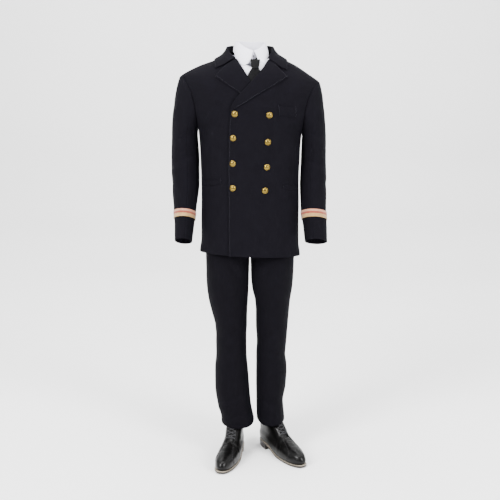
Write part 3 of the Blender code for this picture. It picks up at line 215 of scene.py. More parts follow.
COAT = Torso(
    sections=Table(
        "height half_width front back",
        (0.740, 0.1880, 0.122, 0.137),
        (0.900, 0.1875, 0.124, 0.133),
        (1.050, 0.1860, 0.125, 0.117),
        (1.180, 0.1890, 0.131, 0.114),
        (1.262, 0.1950, 0.136, 0.119),
        (1.275, 0.2000, 0.137, 0.120),
        (1.300, 0.2120, 0.139, 0.122),
        (1.330, 0.2280, 0.140, 0.125),
        (1.362, 0.2365, 0.139, 0.126),
        (1.400, 0.2470, 0.136, 0.126),
        (1.430, 0.2610, 0.131, 0.124),
        (1.450, 0.2720, 0.127, 0.122),
        (1.465, 0.2860, 0.123, 0.120),
        (1.500, 0.2900, 0.115, 0.112),
        (1.550, 0.2900, 0.102, 0.100),
        (1.600, 0.2900, 0.095, 0.092),
    ),
    shoulder=Table(
        "x height",
        (0.000, 1.5720),
        (0.085, 1.5460),
        (0.136, 1.5210),
        (0.183, 1.5025),
        (0.228, 1.4800),
        (0.2565, 1.4625),
        (0.300, 1.4330),
    ),
    armhole=Table(
        "height x",
        (1.2620, 0.1950),
        (1.2750, 0.1955),
        (1.3000, 0.1970),
        (1.3300, 0.2005),
        (1.3620, 0.2060),
        (1.4000, 0.2170),
        (1.4300, 0.2310),
        (1.4500, 0.2450),
        (1.4625, 0.2565),
    ),
    round_over=0.105,
)

SHIRT = Torso(
    sections=Table(
        "height half_width front back",
        (0.880, 0.1530, 0.0930, 0.0960),
        (1.035, 0.1510, 0.0930, 0.0950),
        (1.120, 0.1650, 0.1100, 0.1010),
        (1.180, 0.1750, 0.1180, 0.1030),
        (1.278, 0.1850, 0.1260, 0.1100),
        (1.288, 0.1900, 0.1270, 0.1110),
        (1.305, 0.2000, 0.1280, 0.1120),
        (1.330, 0.2130, 0.1280, 0.1140),
        (1.362, 0.2265, 0.1290, 0.1160),
        (1.400, 0.2370, 0.1260, 0.1160),
        (1.430, 0.2510, 0.1210, 0.1140),
        (1.460, 0.2740, 0.1130, 0.1100),
        (1.500, 0.2900, 0.1040, 0.1020),
        (1.550, 0.2900, 0.0900, 0.0880),
    ),
    shoulder=Table(
        "x height",
        (0.000, 1.5640),
        (0.085, 1.5370),
        (0.136, 1.5120),
        (0.183, 1.4930),
        (0.228, 1.4700),
        (0.247, 1.4580),
        (0.300, 1.4230),
    ),
    armhole=Table(
        "height x",
        (1.2780, 0.1850),
        (1.2880, 0.1860),
        (1.3050, 0.1880),
        (1.3300, 0.1910),
        (1.3620, 0.1965),
        (1.4000, 0.2075),
        (1.4300, 0.2215),
        (1.4580, 0.2470),
    ),
    round_over=0.100,
)


class Sleeve:
    """A sleeve: a cap that leaves the armhole's edge, then oval sections down the arm.

    A place on it is an angle from the outer side towards the front, and a way down: 0 at the armhole,
    1 where the cap ends, and 2 at the end of the sleeve.
    """

    def __init__(self, side, torso, sections, cap_roll, under_roll):
        self.side = side
        self.torso = torso
        self.sections = sections
        self.cap_roll = cap_roll
        self.under_roll = under_roll
        self.bottom = torso.armhole.keys[0]
        self.top = torso.armhole.keys[-1]

    def armhole_edge(self, angle):
        middle = (self.top + self.bottom) / 2
        height = middle + (self.top - self.bottom) / 2 * math.cos(angle)
        turn, fall = self.torso.armhole_place(height)
        way = FRONT if math.sin(angle) >= 0 else BACK
        edge = self.torso.point(turn, fall, way)
        edge.x += 0.0002
        return edge

    def ring(self, angle, height):
        column = lambda name: self.sections.at(-height, name)
        tilt = math.radians(column("tilt"))
        forward = column("half_depth") * math.sin(angle)
        x = column("x") + column("half_width") * math.cos(angle)
        return Vector((x, column("y") - forward * math.cos(tilt), height + forward * math.sin(tilt)))

    def point(self, angle, way_down):
        first = -self.sections.keys[0]
        last = -self.sections.keys[-1]
        if way_down >= 1:
            result = self.ring(angle, blend(first, last, min(1.0, way_down - 1)))
        else:
            start = self.armhole_edge(angle)
            end = self.ring(angle, first)
            reach = (end - start).length
            roll = blend(self.under_roll, self.cap_roll, math.cos(angle / 2) ** 2)
            out = start + Vector((roll, 0.25 * roll * -math.sin(angle), 0))
            above = end + Vector((0, 0, 0.42 * reach))
            keep = 1 - way_down
            result = start * keep**3 + out * (3 * keep**2 * way_down)
            result += above * (3 * keep * way_down**2) + end * way_down**3
        result.x *= self.side
        return result

    def normal(self, angle, way_down):
        step = 0.01
        low = max(0.0, way_down - step)
        high = min(2.0, way_down + step)
        around = self.point(angle + step, way_down) - self.point(angle - step, way_down)
        down = self.point(angle, high) - self.point(angle, low)
        return (around.cross(down) * self.side).normalized()


COAT_SLEEVES = {
    RIGHT: Sleeve(
        RIGHT,
        COAT,
        Table(
            "below x y half_width half_depth tilt",
            (-1.235, 0.2465, 0.006, 0.0495, 0.0775, 0),
            (-1.130, 0.2465, 0.014, 0.0535, 0.0760, 3),
            (-1.060, 0.2455, 0.008, 0.0520, 0.0730, 10),
            (-0.975, 0.2475, -0.014, 0.0440, 0.0670, 17),
            (-0.905, 0.2495, -0.036, 0.0375, 0.0610, 19),
            (-0.842, 0.2525, -0.058, 0.0330, 0.0580, 19),
        ),
        cap_roll=0.014,
        under_roll=0.003,
    ),
    LEFT: Sleeve(
        LEFT,
        COAT,
        Table(
            "below x y half_width half_depth tilt",
            (-1.235, 0.2420, 0.006, 0.0460, 0.0775, 0),
            (-1.150, 0.2420, 0.014, 0.0480, 0.0760, 3),
            (-1.080, 0.2415, 0.008, 0.0505, 0.0720, 10),
            (-0.985, 0.2420, -0.016, 0.0485, 0.0650, 17),
            (-0.925, 0.2465, -0.036, 0.0455, 0.0580, 19),
            (-0.862, 0.2500, -0.058, 0.0425, 0.0545, 19),
        ),
        cap_roll=0.012,
        under_roll=0.003,
    ),
}


def shirt_sleeve(side):
    """The shirt's sleeve, inside the coat's and a little shorter."""
    coat = COAT_SLEEVES[side].sections
    narrower = 0.0090
    shallower = 0.0110
    last = len(coat.keys) - 1
    shifts = {0: 0.012, last: -0.030}
    rows = []
    for i, key in enumerate(coat.keys):
        key += shifts.get(i, 0.0)
        row = {name: coat.at(key, name) for name in coat.columns[1:]}
        half_width = row["half_width"] - narrower
        rows.append((key, row["x"], row["y"], half_width, row["half_depth"] - shallower, row["tilt"]))
    return Sleeve(side, SHIRT, Table("below x y half_width half_depth tilt", *rows), 0.006, 0.018)


class Legs:
    """The trousers: one oval at the hips that parts into two legs below the crotch."""

    hips = Table(
        "height half_width front back",
        (0.700, 0.171, 0.098, 0.116),
        (0.780, 0.171, 0.101, 0.120),
        (0.860, 0.172, 0.103, 0.122),
        (0.940, 0.167, 0.103, 0.112),
        (1.040, 0.156, 0.100, 0.100),
    )
    legs = {
        RIGHT: Table(
            "height outer inner y front back",
            (0.120, 0.1125, -0.0195, -0.014, 0.0766, 0.074),
            (0.148, 0.1135, -0.0135, -0.013, 0.0766, 0.075),
            (0.198, 0.1270, -0.0040, -0.009, 0.078, 0.078),
            (0.272, 0.1380, 0.0030, -0.004, 0.080, 0.082),
            (0.346, 0.1380, 0.0080, 0.001, 0.082, 0.084),
            (0.395, 0.1340, 0.0120, 0.004, 0.082, 0.084),
            (0.480, 0.1345, 0.0140, 0.006, 0.084, 0.082),
            (0.516, 0.1370, 0.0120, 0.006, 0.086, 0.082),
            (0.565, 0.1490, 0.0110, 0.010, 0.090, 0.086),
            (0.613, 0.1600, 0.0080, 0.008, 0.094, 0.092),
            (0.660, 0.1670, 0.0050, 0.006, 0.097, 0.098),
            (0.708, 0.1705, 0.0035, 0.005, 0.099, 0.106),
            (0.780, 0.1710, 0.0030, 0.005, 0.101, 0.114),
        ),
        LEFT: Table(
            "height outer inner y front back",
            (0.120, 0.1380, 0.0280, 0.020, 0.084, 0.076),
            (0.148, 0.1360, 0.0260, 0.020, 0.081, 0.077),
            (0.198, 0.1320, 0.0240, 0.021, 0.078, 0.078),
            (0.272, 0.1430, 0.0240, 0.018, 0.080, 0.082),
            (0.346, 0.1460, 0.0240, 0.018, 0.082, 0.084),
            (0.395, 0.1390, 0.0240, 0.018, 0.082, 0.084),
            (0.444, 0.1430, 0.0270, 0.016, 0.083, 0.083),
            (0.516, 0.1490, 0.0235, 0.012, 0.086, 0.082),
            (0.565, 0.1525, 0.0235, 0.010, 0.090, 0.086),
            (0.613, 0.1570, 0.0195, 0.008, 0.094, 0.092),
            (0.660, 0.1640, 0.0080, 0.006, 0.097, 0.098),
            (0.708, 0.1680, 0.0035, 0.005, 0.099, 0.106),
            (0.780, 0.1710, 0.0030, 0.005, 0.101, 0.114),
        ),
    }
    join_start = 0.735
    join_end = 0.850

    def point(self, side, across, height, way):
        """across runs from the inner edge, 0, to the side seam, 1."""
        if across > 1:
            return self.point(side, 2 - across, height, -way)
        column = lambda name: self.legs[side].at(height, name)
        middle = (column("outer") + column("inner")) / 2
        half = (column("outer") - column("inner")) / 2
        angle = HALF_TURN * across
        depth = column("front" if way == FRONT else "back")
        leg = Vector((middle - half * math.cos(angle), column("y"), height))
        leg.y += way * depth * signed_power(math.sin(angle), 0.9)
        turn = QUARTER_TURN * across
        deep = self.hips.at(height, "front" if way == FRONT else "back")
        reach = signed_power(math.sin(turn), 2 / ROUNDNESS)
        hip = Vector((self.hips.at(height, "half_width") * reach, 0, height))
        hip.y = SHOULDER_Y + way * deep * signed_power(math.cos(turn), 2 / ROUNDNESS)
        hip.x = max(hip.x, 0.0001)
        result = leg.lerp(hip, float(soft_step(height, self.join_start, self.join_end)))
        result.x *= side
        return result

    def normal(self, side, across, height, way):
        step = 0.006
        low = max(0.0, across - step)
        sideways = self.point(side, across + step, height, way) - self.point(side, low, height, way)
        upward = self.point(side, across, height + step, way) - self.point(side, across, height - step, way)
        return (sideways.cross(upward) * -way * side).normalized()


# How far the forefoot reaches on beyond the tables of the boot.
FOREFOOT = 0.013


class Boot:
    """A boot seen as rings round the foot, each one higher and, over the toes, further back."""

    # front and back are distances along the foot from the heel's datum.
    rings = Table(
        "share front back half_width rise",
        (0.00, 0.2830, 0.0040, 0.0430, 0.0000),
        (0.12, 0.2880, 0.0000, 0.0460, 0.0110),
        (0.28, 0.2800, -0.0010, 0.0450, 0.0255),
        (0.42, 0.2520, 0.0010, 0.0410, 0.0385),
        (0.54, 0.2130, 0.0030, 0.0390, 0.0490),
        (0.65, 0.1740, 0.0040, 0.0390, 0.0630),
        (0.76, 0.1500, 0.0050, 0.0410, 0.0830),
        (0.87, 0.1270, 0.0050, 0.0420, 0.1030),
        (1.00, 0.1150, 0.0050, 0.0430, 0.1320),
    )
    outline = Table(
        "along width",
        (0.000, 0.72),
        (0.060, 0.74),
        (0.120, 0.78),
        (0.200, 0.91),
        (0.250, 0.90),
        (0.290, 0.84),
    )
    # The height of the sole's upper side along the foot.
    bed = Table(
        "along height",
        (0.000, 0.0300),
        (0.080, 0.0290),
        (0.165, 0.0092),
        (0.230, 0.0085),
        (0.295, 0.0120),
    )

    def __init__(self, side, heel_x, heel_y, turned_out, swing):
        self.side = side
        self.swing = swing
        self.heel = Vector((heel_x, heel_y, 0))
        angle = math.radians(turned_out)
        self.forward = Vector((side * math.sin(angle), -math.cos(angle), 0))
        self.outward = Vector((side * math.cos(angle), math.sin(angle), 0))

    def local(self, along, out, height):
        fore = float(soft_step(along, 0.13, 0.27))
        along += FOREFOOT * fore
        out += self.swing * fore
        return self.heel + self.forward * along + self.outward * out + Vector((0, 0, height))

    def point(self, angle, share):
        """angle runs from the toe, 0, round the outer side to the heel at a half turn."""
        column = lambda name: self.rings.at(share, name)
        middle = (column("front") + column("back")) / 2
        half = (column("front") - column("back")) / 2
        along = middle + half * signed_power(math.cos(angle), 0.86)
        width = column("half_width") * self.outline.at(along, "width")
        out = width * signed_power(math.sin(angle), 0.86)
        height = blend(self.bed.at(along, "height"), 0.022, share) + column("rise")
        return self.local(along, out, height)

    def normal(self, angle, share):
        step = 0.01
        around = self.point(angle + step, share) - self.point(angle - step, share)
        up = self.point(angle, min(1.0, share + step)) - self.point(angle, max(0.0, share - step))
        return (around.cross(up) * self.side).normalized()


# The left boot is turned out much further than the right.
BOOTS = {
    RIGHT: Boot(RIGHT, -0.0420, 0.052, 12.0, 0.005),
    LEFT: Boot(LEFT, 0.0480, 0.076, 32.5, -0.008),
}


# Materials.


def colour(code):
    """An sRGB hex colour as linear red, green, blue and alpha."""
    parts = [int(code[i : i + 2], 16) / 255 for i in (1, 3, 5)]
    linear = [part / 12.92 if part <= 0.04045 else ((part + 0.055) / 1.055) ** 2.4 for part in parts]
    return (*linear, 1.0)


def add(tree, kind, settings=None, **links):
    """A node with its settings, and with sockets of other nodes or plain values put into its inputs.

    An input is named by its number or name after in_, such as in_0 or in_Scale.
    """
    node = tree.nodes.new(kind)
    for name, value in (settings or {}).items():
        setattr(node, name, value)
    for name, value in links.items():
        key = name[3:].replace("_", " ")
        socket = node.inputs[int(key) if key.isdigit() else key]
        if isinstance(value, bpy.types.NodeSocket):
            tree.links.new(value, socket)
        else:
            socket.default_value = value
    return node


def new_material(name, roughness, **principled):
    material = bpy.data.materials.new(name)
    material.use_nodes = True
    tree = material.node_tree
    shader = tree.nodes["Principled BSDF"]
    shader.inputs["Roughness"].default_value = roughness
    for key, value in principled.items():
        shader.inputs[key.replace("_", " ")].default_value = value
    return material, tree, shader


def in_millimetres(tree, vector):
    scaled = add(tree, "ShaderNodeVectorMath", {"operation": "SCALE"}, in_0=vector, in_Scale=1000.0)
    return scaled.outputs[0]


def cloth_place(tree):
    """The piece's own flat cut in millimetres, so a weave follows the cloth."""
    uv = add(tree, "ShaderNodeUVMap", {"uv_map": "cut"})
    return in_millimetres(tree, uv.outputs[0])


def object_place(tree):
    """Object coordinates in millimetres."""
    place = add(tree, "ShaderNodeTexCoord")
    return in_millimetres(tree, place.outputs["Object"])


def noise(tree, place, size, detail=3.0, roughness=0.5):
    """Soft noise whose lumps are about size millimetres."""
    node = add(
        tree,
        "ShaderNodeTexNoise",
        in_Vector=place,
        in_Scale=1.0 / size,
        in_Detail=detail,
        in_Roughness=roughness,
    )
    return node.outputs["Fac"]


def sum_of(tree, *parts):
    """Values added up, each a (socket, weight)."""
    total = None
    for socket, weight in parts:
        total = add(
            tree,
            "ShaderNodeMath",
            {"operation": "MULTIPLY_ADD"},
            in_0=socket,
            in_1=weight,
            in_2=0.0 if total is None else total,
        ).outputs[0]
    return total


def ramp(tree, value, *stops):
    """A colour ramp over (position, hex colour) stops."""
    node = add(tree, "ShaderNodeValToRGB", in_Fac=value)
    elements = node.color_ramp.elements
    for _ in stops[2:]:
        elements.new(0.5)
    for element, (position, code) in zip(elements, stops):
        element.position = position
        element.color = colour(code)
    return node.outputs["Color"]


def bump(tree, shader, height, distance, strength=1.0):
    """Relief from a height in millimetres."""
    node = add(
        tree, "ShaderNodeBump", in_Strength=strength, in_Distance=distance, in_Height=height
    )
    tree.links.new(node.outputs[0], shader.inputs["Normal"])


def twill(tree, place, spacing, angle):
    """Ribs of a twill, spacing millimetres apart, across the cloth at an angle in degrees."""
    turned = add(
        tree,
        "ShaderNodeMapping",
        in_Vector=place,
        in_Rotation=(0.0, 0.0, math.radians(angle)),
        in_Scale=(1.0 / spacing, 1.0 / spacing, 1.0),
    )
    wave = add(
        tree,
        "ShaderNodeTexWave",
        {"wave_type": "BANDS", "bands_direction": "X", "wave_profile": "SIN"},
        in_Vector=turned.outputs[0],
        in_Scale=1.0 / (2 * math.pi) * 2.0,
        in_Distortion=0.6,
        in_Detail=1.0,
        in_Detail_Scale=1.5,
    )
    return wave.outputs["Fac"]


def make_wool(name, deep, light, rib, nap, sheen):
    """Fulled wool: a close matte nap over a fine twill, so it drinks light and only its nap catches it."""
    material, tree, shader = new_material(
        name,
        0.88,
        Sheen_Weight=sheen,
        Sheen_Roughness=0.35,
        Sheen_Tint=colour("#8C8AA8"),
        Specular_IOR_Level=0.06,
        IOR=1.5,
    )
    place = cloth_place(tree)
    # Real ribs are taken as 0.7 mm apart. They are drawn about twice as coarse, so that they show.
    ribs = twill(tree, place, rib, 58.0)
    fuzz = noise(tree, place, nap, 4.0, 0.65)
    clouds = noise(tree, place, 46.0, 3.0, 0.55)
    specks = noise(tree, place, 1.3, 1.0, 0.4)
    shade = sum_of(tree, (ribs, 0.16), (fuzz, 0.34), (clouds, 0.36), (specks, 0.14))
    tree.links.new(ramp(tree, shade, (0.22, deep), (0.78, light)), shader.inputs["Base Color"])
    height = sum_of(tree, (ribs, 0.10), (fuzz, 0.16), (specks, 0.07))
    bump(tree, shader, height, 0.001, 0.55)
    return material


def make_cotton(name, deep, light):
    """Bleached poplin: a tight plain weave, nearly smooth and a little cool."""
    material, tree, shader = new_material(name, 0.78, Sheen_Weight=0.08, Specular_IOR_Level=0.35)
    place = cloth_place(tree)
    across = twill(tree, place, 0.9, 0.0)
    along = twill(tree, place, 0.9, 90.0)
    clouds = noise(tree, place, 30.0)
    shade = sum_of(tree, (across, 0.2), (along, 0.2), (clouds, 0.6))
    tree.links.new(ramp(tree, shade, (0.2, deep), (0.8, light)), shader.inputs["Base Color"])
    bump(tree, shader, sum_of(tree, (across, 0.03), (along, 0.03), (clouds, 0.3)), 0.001, 0.35)
    return material


def make_silk(name, deep, light, roughness):
    """Corded silk: fine ribs with a soft sheen along them."""
    material, tree, shader = new_material(name, roughness, Sheen_Weight=0.01, Specular_IOR_Level=0.10)
    place = cloth_place(tree)
    ribs = twill(tree, place, 1.5, 45.0)
    clouds = noise(tree, place, 18.0)
    shade = sum_of(tree, (ribs, 0.55), (clouds, 0.45))
    tree.links.new(ramp(tree, shade, (0.2, deep), (0.8, light)), shader.inputs["Base Color"])
    bump(tree, shader, sum_of(tree, (ribs, 0.16), (clouds, 0.2)), 0.001, 0.6)
    return material


def make_lace(name, deep, middle, light, metallic, roughness, rib):
    """Woven lace: metal or worsted thread in close ribs across the tape. Its colour is partly the weave's own
    pattern and partly painted light: each rib's crest is painted paler as a painted highlight, and each
    groove darker as painted shade.
    """
    material, tree, shader = new_material(name, roughness, Metallic=metallic, Sheen_Weight=0.15)
    place = cloth_place(tree)
    ribs = twill(tree, place, rib, 0.0)
    rows = twill(tree, place, 1.6, 90.0)
    wear = noise(tree, place, 6.0, 3.0, 0.6)
    # The ribs and rows paint a highlight on every raised crest and shade in every groove, over the random
    # wear.
    shade = sum_of(tree, (ribs, 0.40), (rows, 0.25), (wear, 0.35))
    tree.links.new(ramp(tree, shade, (0.18, deep), (0.5, middle), (0.82, light)), shader.inputs["Base Color"])
    bump(tree, shader, sum_of(tree, (ribs, 0.35), (rows, 0.18)), 0.001, 0.8)
    return material


def make_gilt(name):
    """Gilded brass, struck and polished: bright warm metal with faint rubbing marks."""
    material, tree, shader = new_material(name, 0.2, Metallic=1.0)
    place = object_place(tree)
    rubbed = noise(tree, place, 5.0, 4.0, 0.6)
    tree.links.new(ramp(tree, rubbed, (0.3, "#54451C"), (0.7, "#857036")), shader.inputs["Base Color"])
    dulled = add(tree, "ShaderNodeMapRange", in_Value=rubbed, in_3=0.14, in_4=0.34)
    tree.links.new(dulled.outputs[0], shader.inputs["Roughness"])
    bump(tree, shader, rubbed, 0.001, 0.05)
    return material


def make_boot_leather(name):
    """Box calf, blacked and polished: a fine pebble under a wax gloss, duller in soft random patches."""
    material, tree, shader = new_material(
        name, 0.24, Specular_IOR_Level=0.13, Coat_Weight=0.05, Coat_Roughness=0.12, Coat_IOR=1.5
    )
    place = object_place(tree)
    cells = add(tree, "ShaderNodeTexVoronoi", {"feature": "DISTANCE_TO_EDGE"}, in_Vector=place, in_Scale=0.9)
    clouds = noise(tree, place, 24.0)
    tree.links.new(ramp(tree, clouds, (0.3, "#030303"), (0.75, "#080707")), shader.inputs["Base Color"])
    scuffed = add(tree, "ShaderNodeMapRange", in_Value=clouds, in_3=0.24, in_4=0.38)
    tree.links.new(scuffed.outputs[0], shader.inputs["Roughness"])
    height = sum_of(tree, (cells.outputs["Distance"], 0.18), (noise(tree, place, 3.0), 0.10))
    bump(tree, shader, height, 0.001, 0.35)
    return material


def make_sole_leather(name, deep, light, roughness):
    """Oak-bark sole leather, its edge inked, set and waxed: thin layers show along the edge."""
    material, tree, shader = new_material(name, roughness, Specular_IOR_Level=0.4)
    place = object_place(tree)
    layers = add(
        tree,
        "ShaderNodeTexWave",
        {"wave_type": "BANDS", "bands_direction": "Z"},
        in_Vector=place,
        in_Scale=0.09,
        in_Distortion=1.2,
        in_Detail=2.0,
    )
    clouds = noise(tree, place, 9.0)
    shade = sum_of(tree, (layers.outputs["Fac"], 0.45), (clouds, 0.55))
    tree.links.new(ramp(tree, shade, (0.2, deep), (0.8, light)), shader.inputs["Base Color"])
    bump(tree, shader, sum_of(tree, (layers.outputs["Fac"], 0.2), (clouds, 0.3)), 0.001, 0.4)
    return material


def make_thread(name, deep, light, roughness=0.75):
    """Waxed thread or braided cord: fine twists along a round strand."""
    material, tree, shader = new_material(name, roughness, Sheen_Weight=0.1)
    place = object_place(tree)
    twists = noise(tree, place, 0.9, 2.0)
    tree.links.new(ramp(tree, twists, (0.3, deep), (0.7, light)), shader.inputs["Base Color"])
    bump(tree, shader, twists, 0.001, 0.3)
    return material


COAT_WOOL = make_wool("melton_wool_coat", "#040306", "#0B0A10", 1.5, 2.4, 0.02)
TROUSER_WOOL = make_wool("serge_wool_trousers", "#030205", "#09080D", 1.4, 2.0, 0.018)
SHIRT_COTTON = make_cotton("poplin_cotton_shirt", "#DCDBE6", "#EFEEF8")
TIE_SILK = make_silk("corded_silk_tie", "#030304", "#09090B", 0.72)
GOLD_LACE = make_lace("gilt_wire_lace", "#6E5128", "#A5804B", "#CBAA72", 0.45, 0.42, 0.9)
PALE_LACE = make_lace("rose_gilt_wire_lace", "#8A4A33", "#B27A5E", "#CBA385", 0.30, 0.48, 0.9)
RED_LACE = make_lace("madder_worsted_lace", "#6A2015", "#8B3222", "#A04A33", 0.0, 0.75, 1.1)
BUTTON_GILT = make_gilt("gilded_brass")
BOOT_CALF = make_boot_leather("polished_box_calf")
SOLE_EDGE = make_sole_leather("inked_sole_leather", "#0E0C0B", "#2A211C", 0.42)
WELT_EDGE = make_sole_leather("natural_welt_leather", "#544D43", "#8B8275", 0.60)
BOOT_LACE = make_thread("waxed_cotton_lace", "#0B0B0D", "#232228", 0.6)
WOOL_THREAD = make_thread("navy_silk_thread", "#17161F", "#302E3B")
WHITE_THREAD = make_thread("white_cotton_thread", "#D5D3DC", "#F4F3F7")
WELT_THREAD = make_thread("waxed_linen_thread", "#9B8F7C", "#CFC4B0")
BLACK_EYELET = make_gilt("japanned_brass")


def japan(material):
    """Eyelets and hooks are japanned: the same brass under black lacquer."""
    shader = material.node_tree.nodes["Principled BSDF"]
    for link in list(shader.inputs["Base Color"].links):
        material.node_tree.links.remove(link)
    shader.inputs["Base Color"].default_value = colour("#1A191B")
    shader.inputs["Metallic"].default_value = 0.6


japan(BLACK_EYELET)


# Making cloth: a grid of points becomes a thin wall with rounded edges and creases.


def curve_through(values, places, ring):
    """An array's rows read at fractional places, on a smooth curve through them."""
    count = len(values)
    low = np.floor(places).astype(int)
    if ring:
        take = lambda shift: values[(low + shift) % count]
    else:
        low = np.clip(low, 0, count - 2)
        padded = np.concatenate([2 * values[:1] - values[1:2], values, 2 * values[-1:] - values[-2:-1]])
        take = lambda shift: padded[low + shift + 1]
    part = (places - low).reshape((-1,) + (1,) * (values.ndim - 1))
    a, b, c, d = (take(shift) for shift in (-1, 0, 1, 2))
    result = 2 * b + (c - a) * part + (2 * a - 5 * b + 4 * c - d) * part**2
    return 0.5 * (result + (3 * b - a - 3 * c + d) * part**3)


def sample_places(points, pitch, edge, ring):
    """Fractional row numbers a pitch apart along the rows' mean length, closer at the rounded ends."""
    steps = points[1:] - points[:-1]
    if ring:
        steps = np.concatenate([steps, points[:1] - points[-1:]])
    spans = np.linalg.norm(steps, axis=2).mean(axis=1)
    lengths = np.concatenate([[0.0], np.cumsum(spans)])
    total = lengths[-1]
    if ring:
        wanted = np.linspace(0.0, total, max(8, int(total / pitch)) + 1)[:-1]
    else:
        near = [share * edge for share in (0.0, 0.12, 0.45)]
        middle = np.linspace(edge, total - edge, max(2, int(total / pitch)) + 1)
        wanted = np.concatenate([near, middle, [total - distance for distance in near[::-1]]])
    return np.interp(wanted, lengths, np.arange(len(lengths)))


def distances(points, ring):
    """For every point of a grid, its distance along the row from the row's start and end."""
    steps = np.linalg.norm(np.diff(points, axis=1), axis=2)
    start = np.concatenate([np.zeros((len(points), 1)), np.cumsum(steps, axis=1)], axis=1)
    if ring:
        far = np.full_like(start, 1.0)
        return start, far
    return start, start[:, -1:] - start


def normals_of(points, ring, outward):
    """Unit normals of a grid, on the side of outward at its middle."""
    if ring:
        across = np.roll(points, -1, axis=1) - np.roll(points, 1, axis=1)
    else:
        across = np.gradient(points, axis=1)
    up = np.gradient(points, axis=0)
    normals = np.cross(across, up)
    size = np.linalg.norm(normals, axis=2, keepdims=True)
    normals = normals / np.maximum(size, 1e-12)
    middle = normals[len(points) // 2, points.shape[1] // 2]
    return normals if float(np.dot(middle, np.array(outward))) > 0 else -normals


class Cloth:
    """One cut piece being made: its fine grid of mid points, their normals and its surface for others."""

    def __init__(self, points, normals, thickness, ring):
        self.points = points
        self.normals = normals
        self.thickness = thickness
        self.ring = ring
        self.tree = None


made = {}

# A held piece's length is taken as no less than this. A sheet is stated no narrower
# than this, just over the least that can be stated.
NARROWEST_SHEET = 0.0101


def surface_tree(points, normals, ring):
    rows, columns = points.shape[:2]
    faces = []
    for i in range(rows - 1):
        for j in range(columns if ring else columns - 1):
            k = (j + 1) % columns
            faces.append((i * columns + j, i * columns + k, (i + 1) * columns + k, (i + 1) * columns + j))
    flat = points.reshape(-1, 3)
    first = faces[len(faces) // 2]
    a, b, c, d = (flat[corner] for corner in first)
    out = np.cross(c - a, d - b).dot(normals.reshape(-1, 3)[first[0]]) > 0
    if not out:
        faces = [face[::-1] for face in faces]
    return BVHTree.FromPolygons([Vector(point) for point in flat], faces)


def push_clear(points, normals, half, over, clear):
    """Move a grid out along its normals wherever its inner side comes too close to what it lies on."""
    need = np.zeros(points.shape[:2])
    for i in range(points.shape[0]):
        for j in range(points.shape[1]):
            spot = Vector(points[i, j] - normals[i, j] * half)
            facing = Vector(normals[i, j])
            for name in over:
                near, direction, _, _ = made[name].tree.find_nearest(spot, 0.02)
                if near is None:
                    continue
                height = (spot - near).dot(direction)
                level = (spot - near - direction * height).length < 0.004
                if direction.dot(facing) > 0.2 and level and height < clear:
                    need[i, j] = max(need[i, j], clear - height)
    if need.max() > 0:
        smooth = need.copy()
        for _ in range(4):
            padded = np.pad(smooth, 1, mode="edge")
            around = padded[:-2, 1:-1] + padded[2:, 1:-1] + padded[1:-1, :-2] + padded[1:-1, 2:]
            smooth = np.maximum(need, 0.2 * smooth + 0.2 * around)
        need = smooth
    return points + normals * need[..., None]


def declare(piece, nodes, slot):
    """Attach the piece to the root body and hide the imported parts of the nodes that it stands for. The slot
    is not used.
    """
    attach(piece, "root")
    if nodes:
        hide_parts(*nodes)
    return piece


def put_in_scene(name, mesh, material):
    """A new piece, named apart from the node that it stands for."""
    mesh.name = name + "_piece"
    piece = bpy.data.objects.new(name + "_piece", mesh)
    bpy.context.scene.collection.objects.link(piece)
    mesh.materials.append(material)
    return piece


def make_cloth(
    name,
    grid,
    outward,
    thickness,
    material,
    pitch=0.006,
    ring=False,
    relief=None,
    fade=(),
    over=(),
    clear=EASE,
    edge=None,
    nodes=None,
    slot=None,
    held="hung",
    settle=False,
):
    """A cut piece from a grid of outer points: refined, creased, pushed clear and given its wall.

    fade names the edges where the creases die away: left, right, bottom or top of the grid.
    """
    points = np.array([[tuple(point) for point in row] for row in grid])
    if settle:
        points[..., 2] -= drop(points[..., 0], points[..., 2])
    edge = thickness * 0.55 if edge is None else edge
    rows_at = sample_places(points, pitch, edge, False)
    columns_at = sample_places(np.swapaxes(points, 0, 1), pitch, edge, ring)
    points = curve_through(points, rows_at, False)
    points = np.swapaxes(curve_through(np.swapaxes(points, 0, 1), columns_at, ring), 0, 1)
    normals = normals_of(points, ring, outward)
    points = points - normals * thickness / 2

    from_left, from_right = distances(points, ring)
    from_bottom, from_top = (np.swapaxes(side, 0, 1) for side in distances(np.swapaxes(points, 0, 1), False))
    sides = {"left": from_left, "right": from_right, "bottom": from_bottom, "top": from_top}
    # The whole flat cut, before any crease.
    width = float((from_left[:, -1]).max())
    if ring:
        width += float(np.linalg.norm(points[:, 0] - points[:, -1], axis=1).max())
    length = float(from_bottom[-1].max())
    if relief is not None:
        amount = relief(points + normals * thickness / 2)
        for side in fade:
            amount = amount * soft_step(sides[side], 0.0, 0.022)
        points = points + normals * amount[..., None]
        normals = normals_of(points, ring, outward)
    if over:
        points = push_clear(points, normals, thickness / 2, over, clear)
        normals = normals_of(points, ring, outward)

    # The wall narrows to a rounded edge, as a turned and pressed one does.
    shown = [side for key, side in sides.items() if not ring or key in ("bottom", "top")]
    shares = [np.clip(side / edge, 0.0, 1.0) for side in shown]
    closeness = np.minimum.reduce(shares)
    half = thickness / 2 * np.maximum(0.16, np.sqrt(1 - (1 - closeness) ** 2))
    outer = points + normals * half[..., None]
    inner = points - normals * half[..., None]
    cloth = Cloth(points, normals, thickness, ring)
    cloth.tree = surface_tree(outer, normals, ring)
    made[name] = cloth
    across = from_left - from_left[:, -1:] / 2
    mesh = wall_mesh(name, outer, inner, ring, across, from_bottom)
    piece = declare(put_in_scene(name, mesh, material), nodes or (name,), slot)
    if held:
        length = max(length, NARROWEST_SHEET)
    return piece


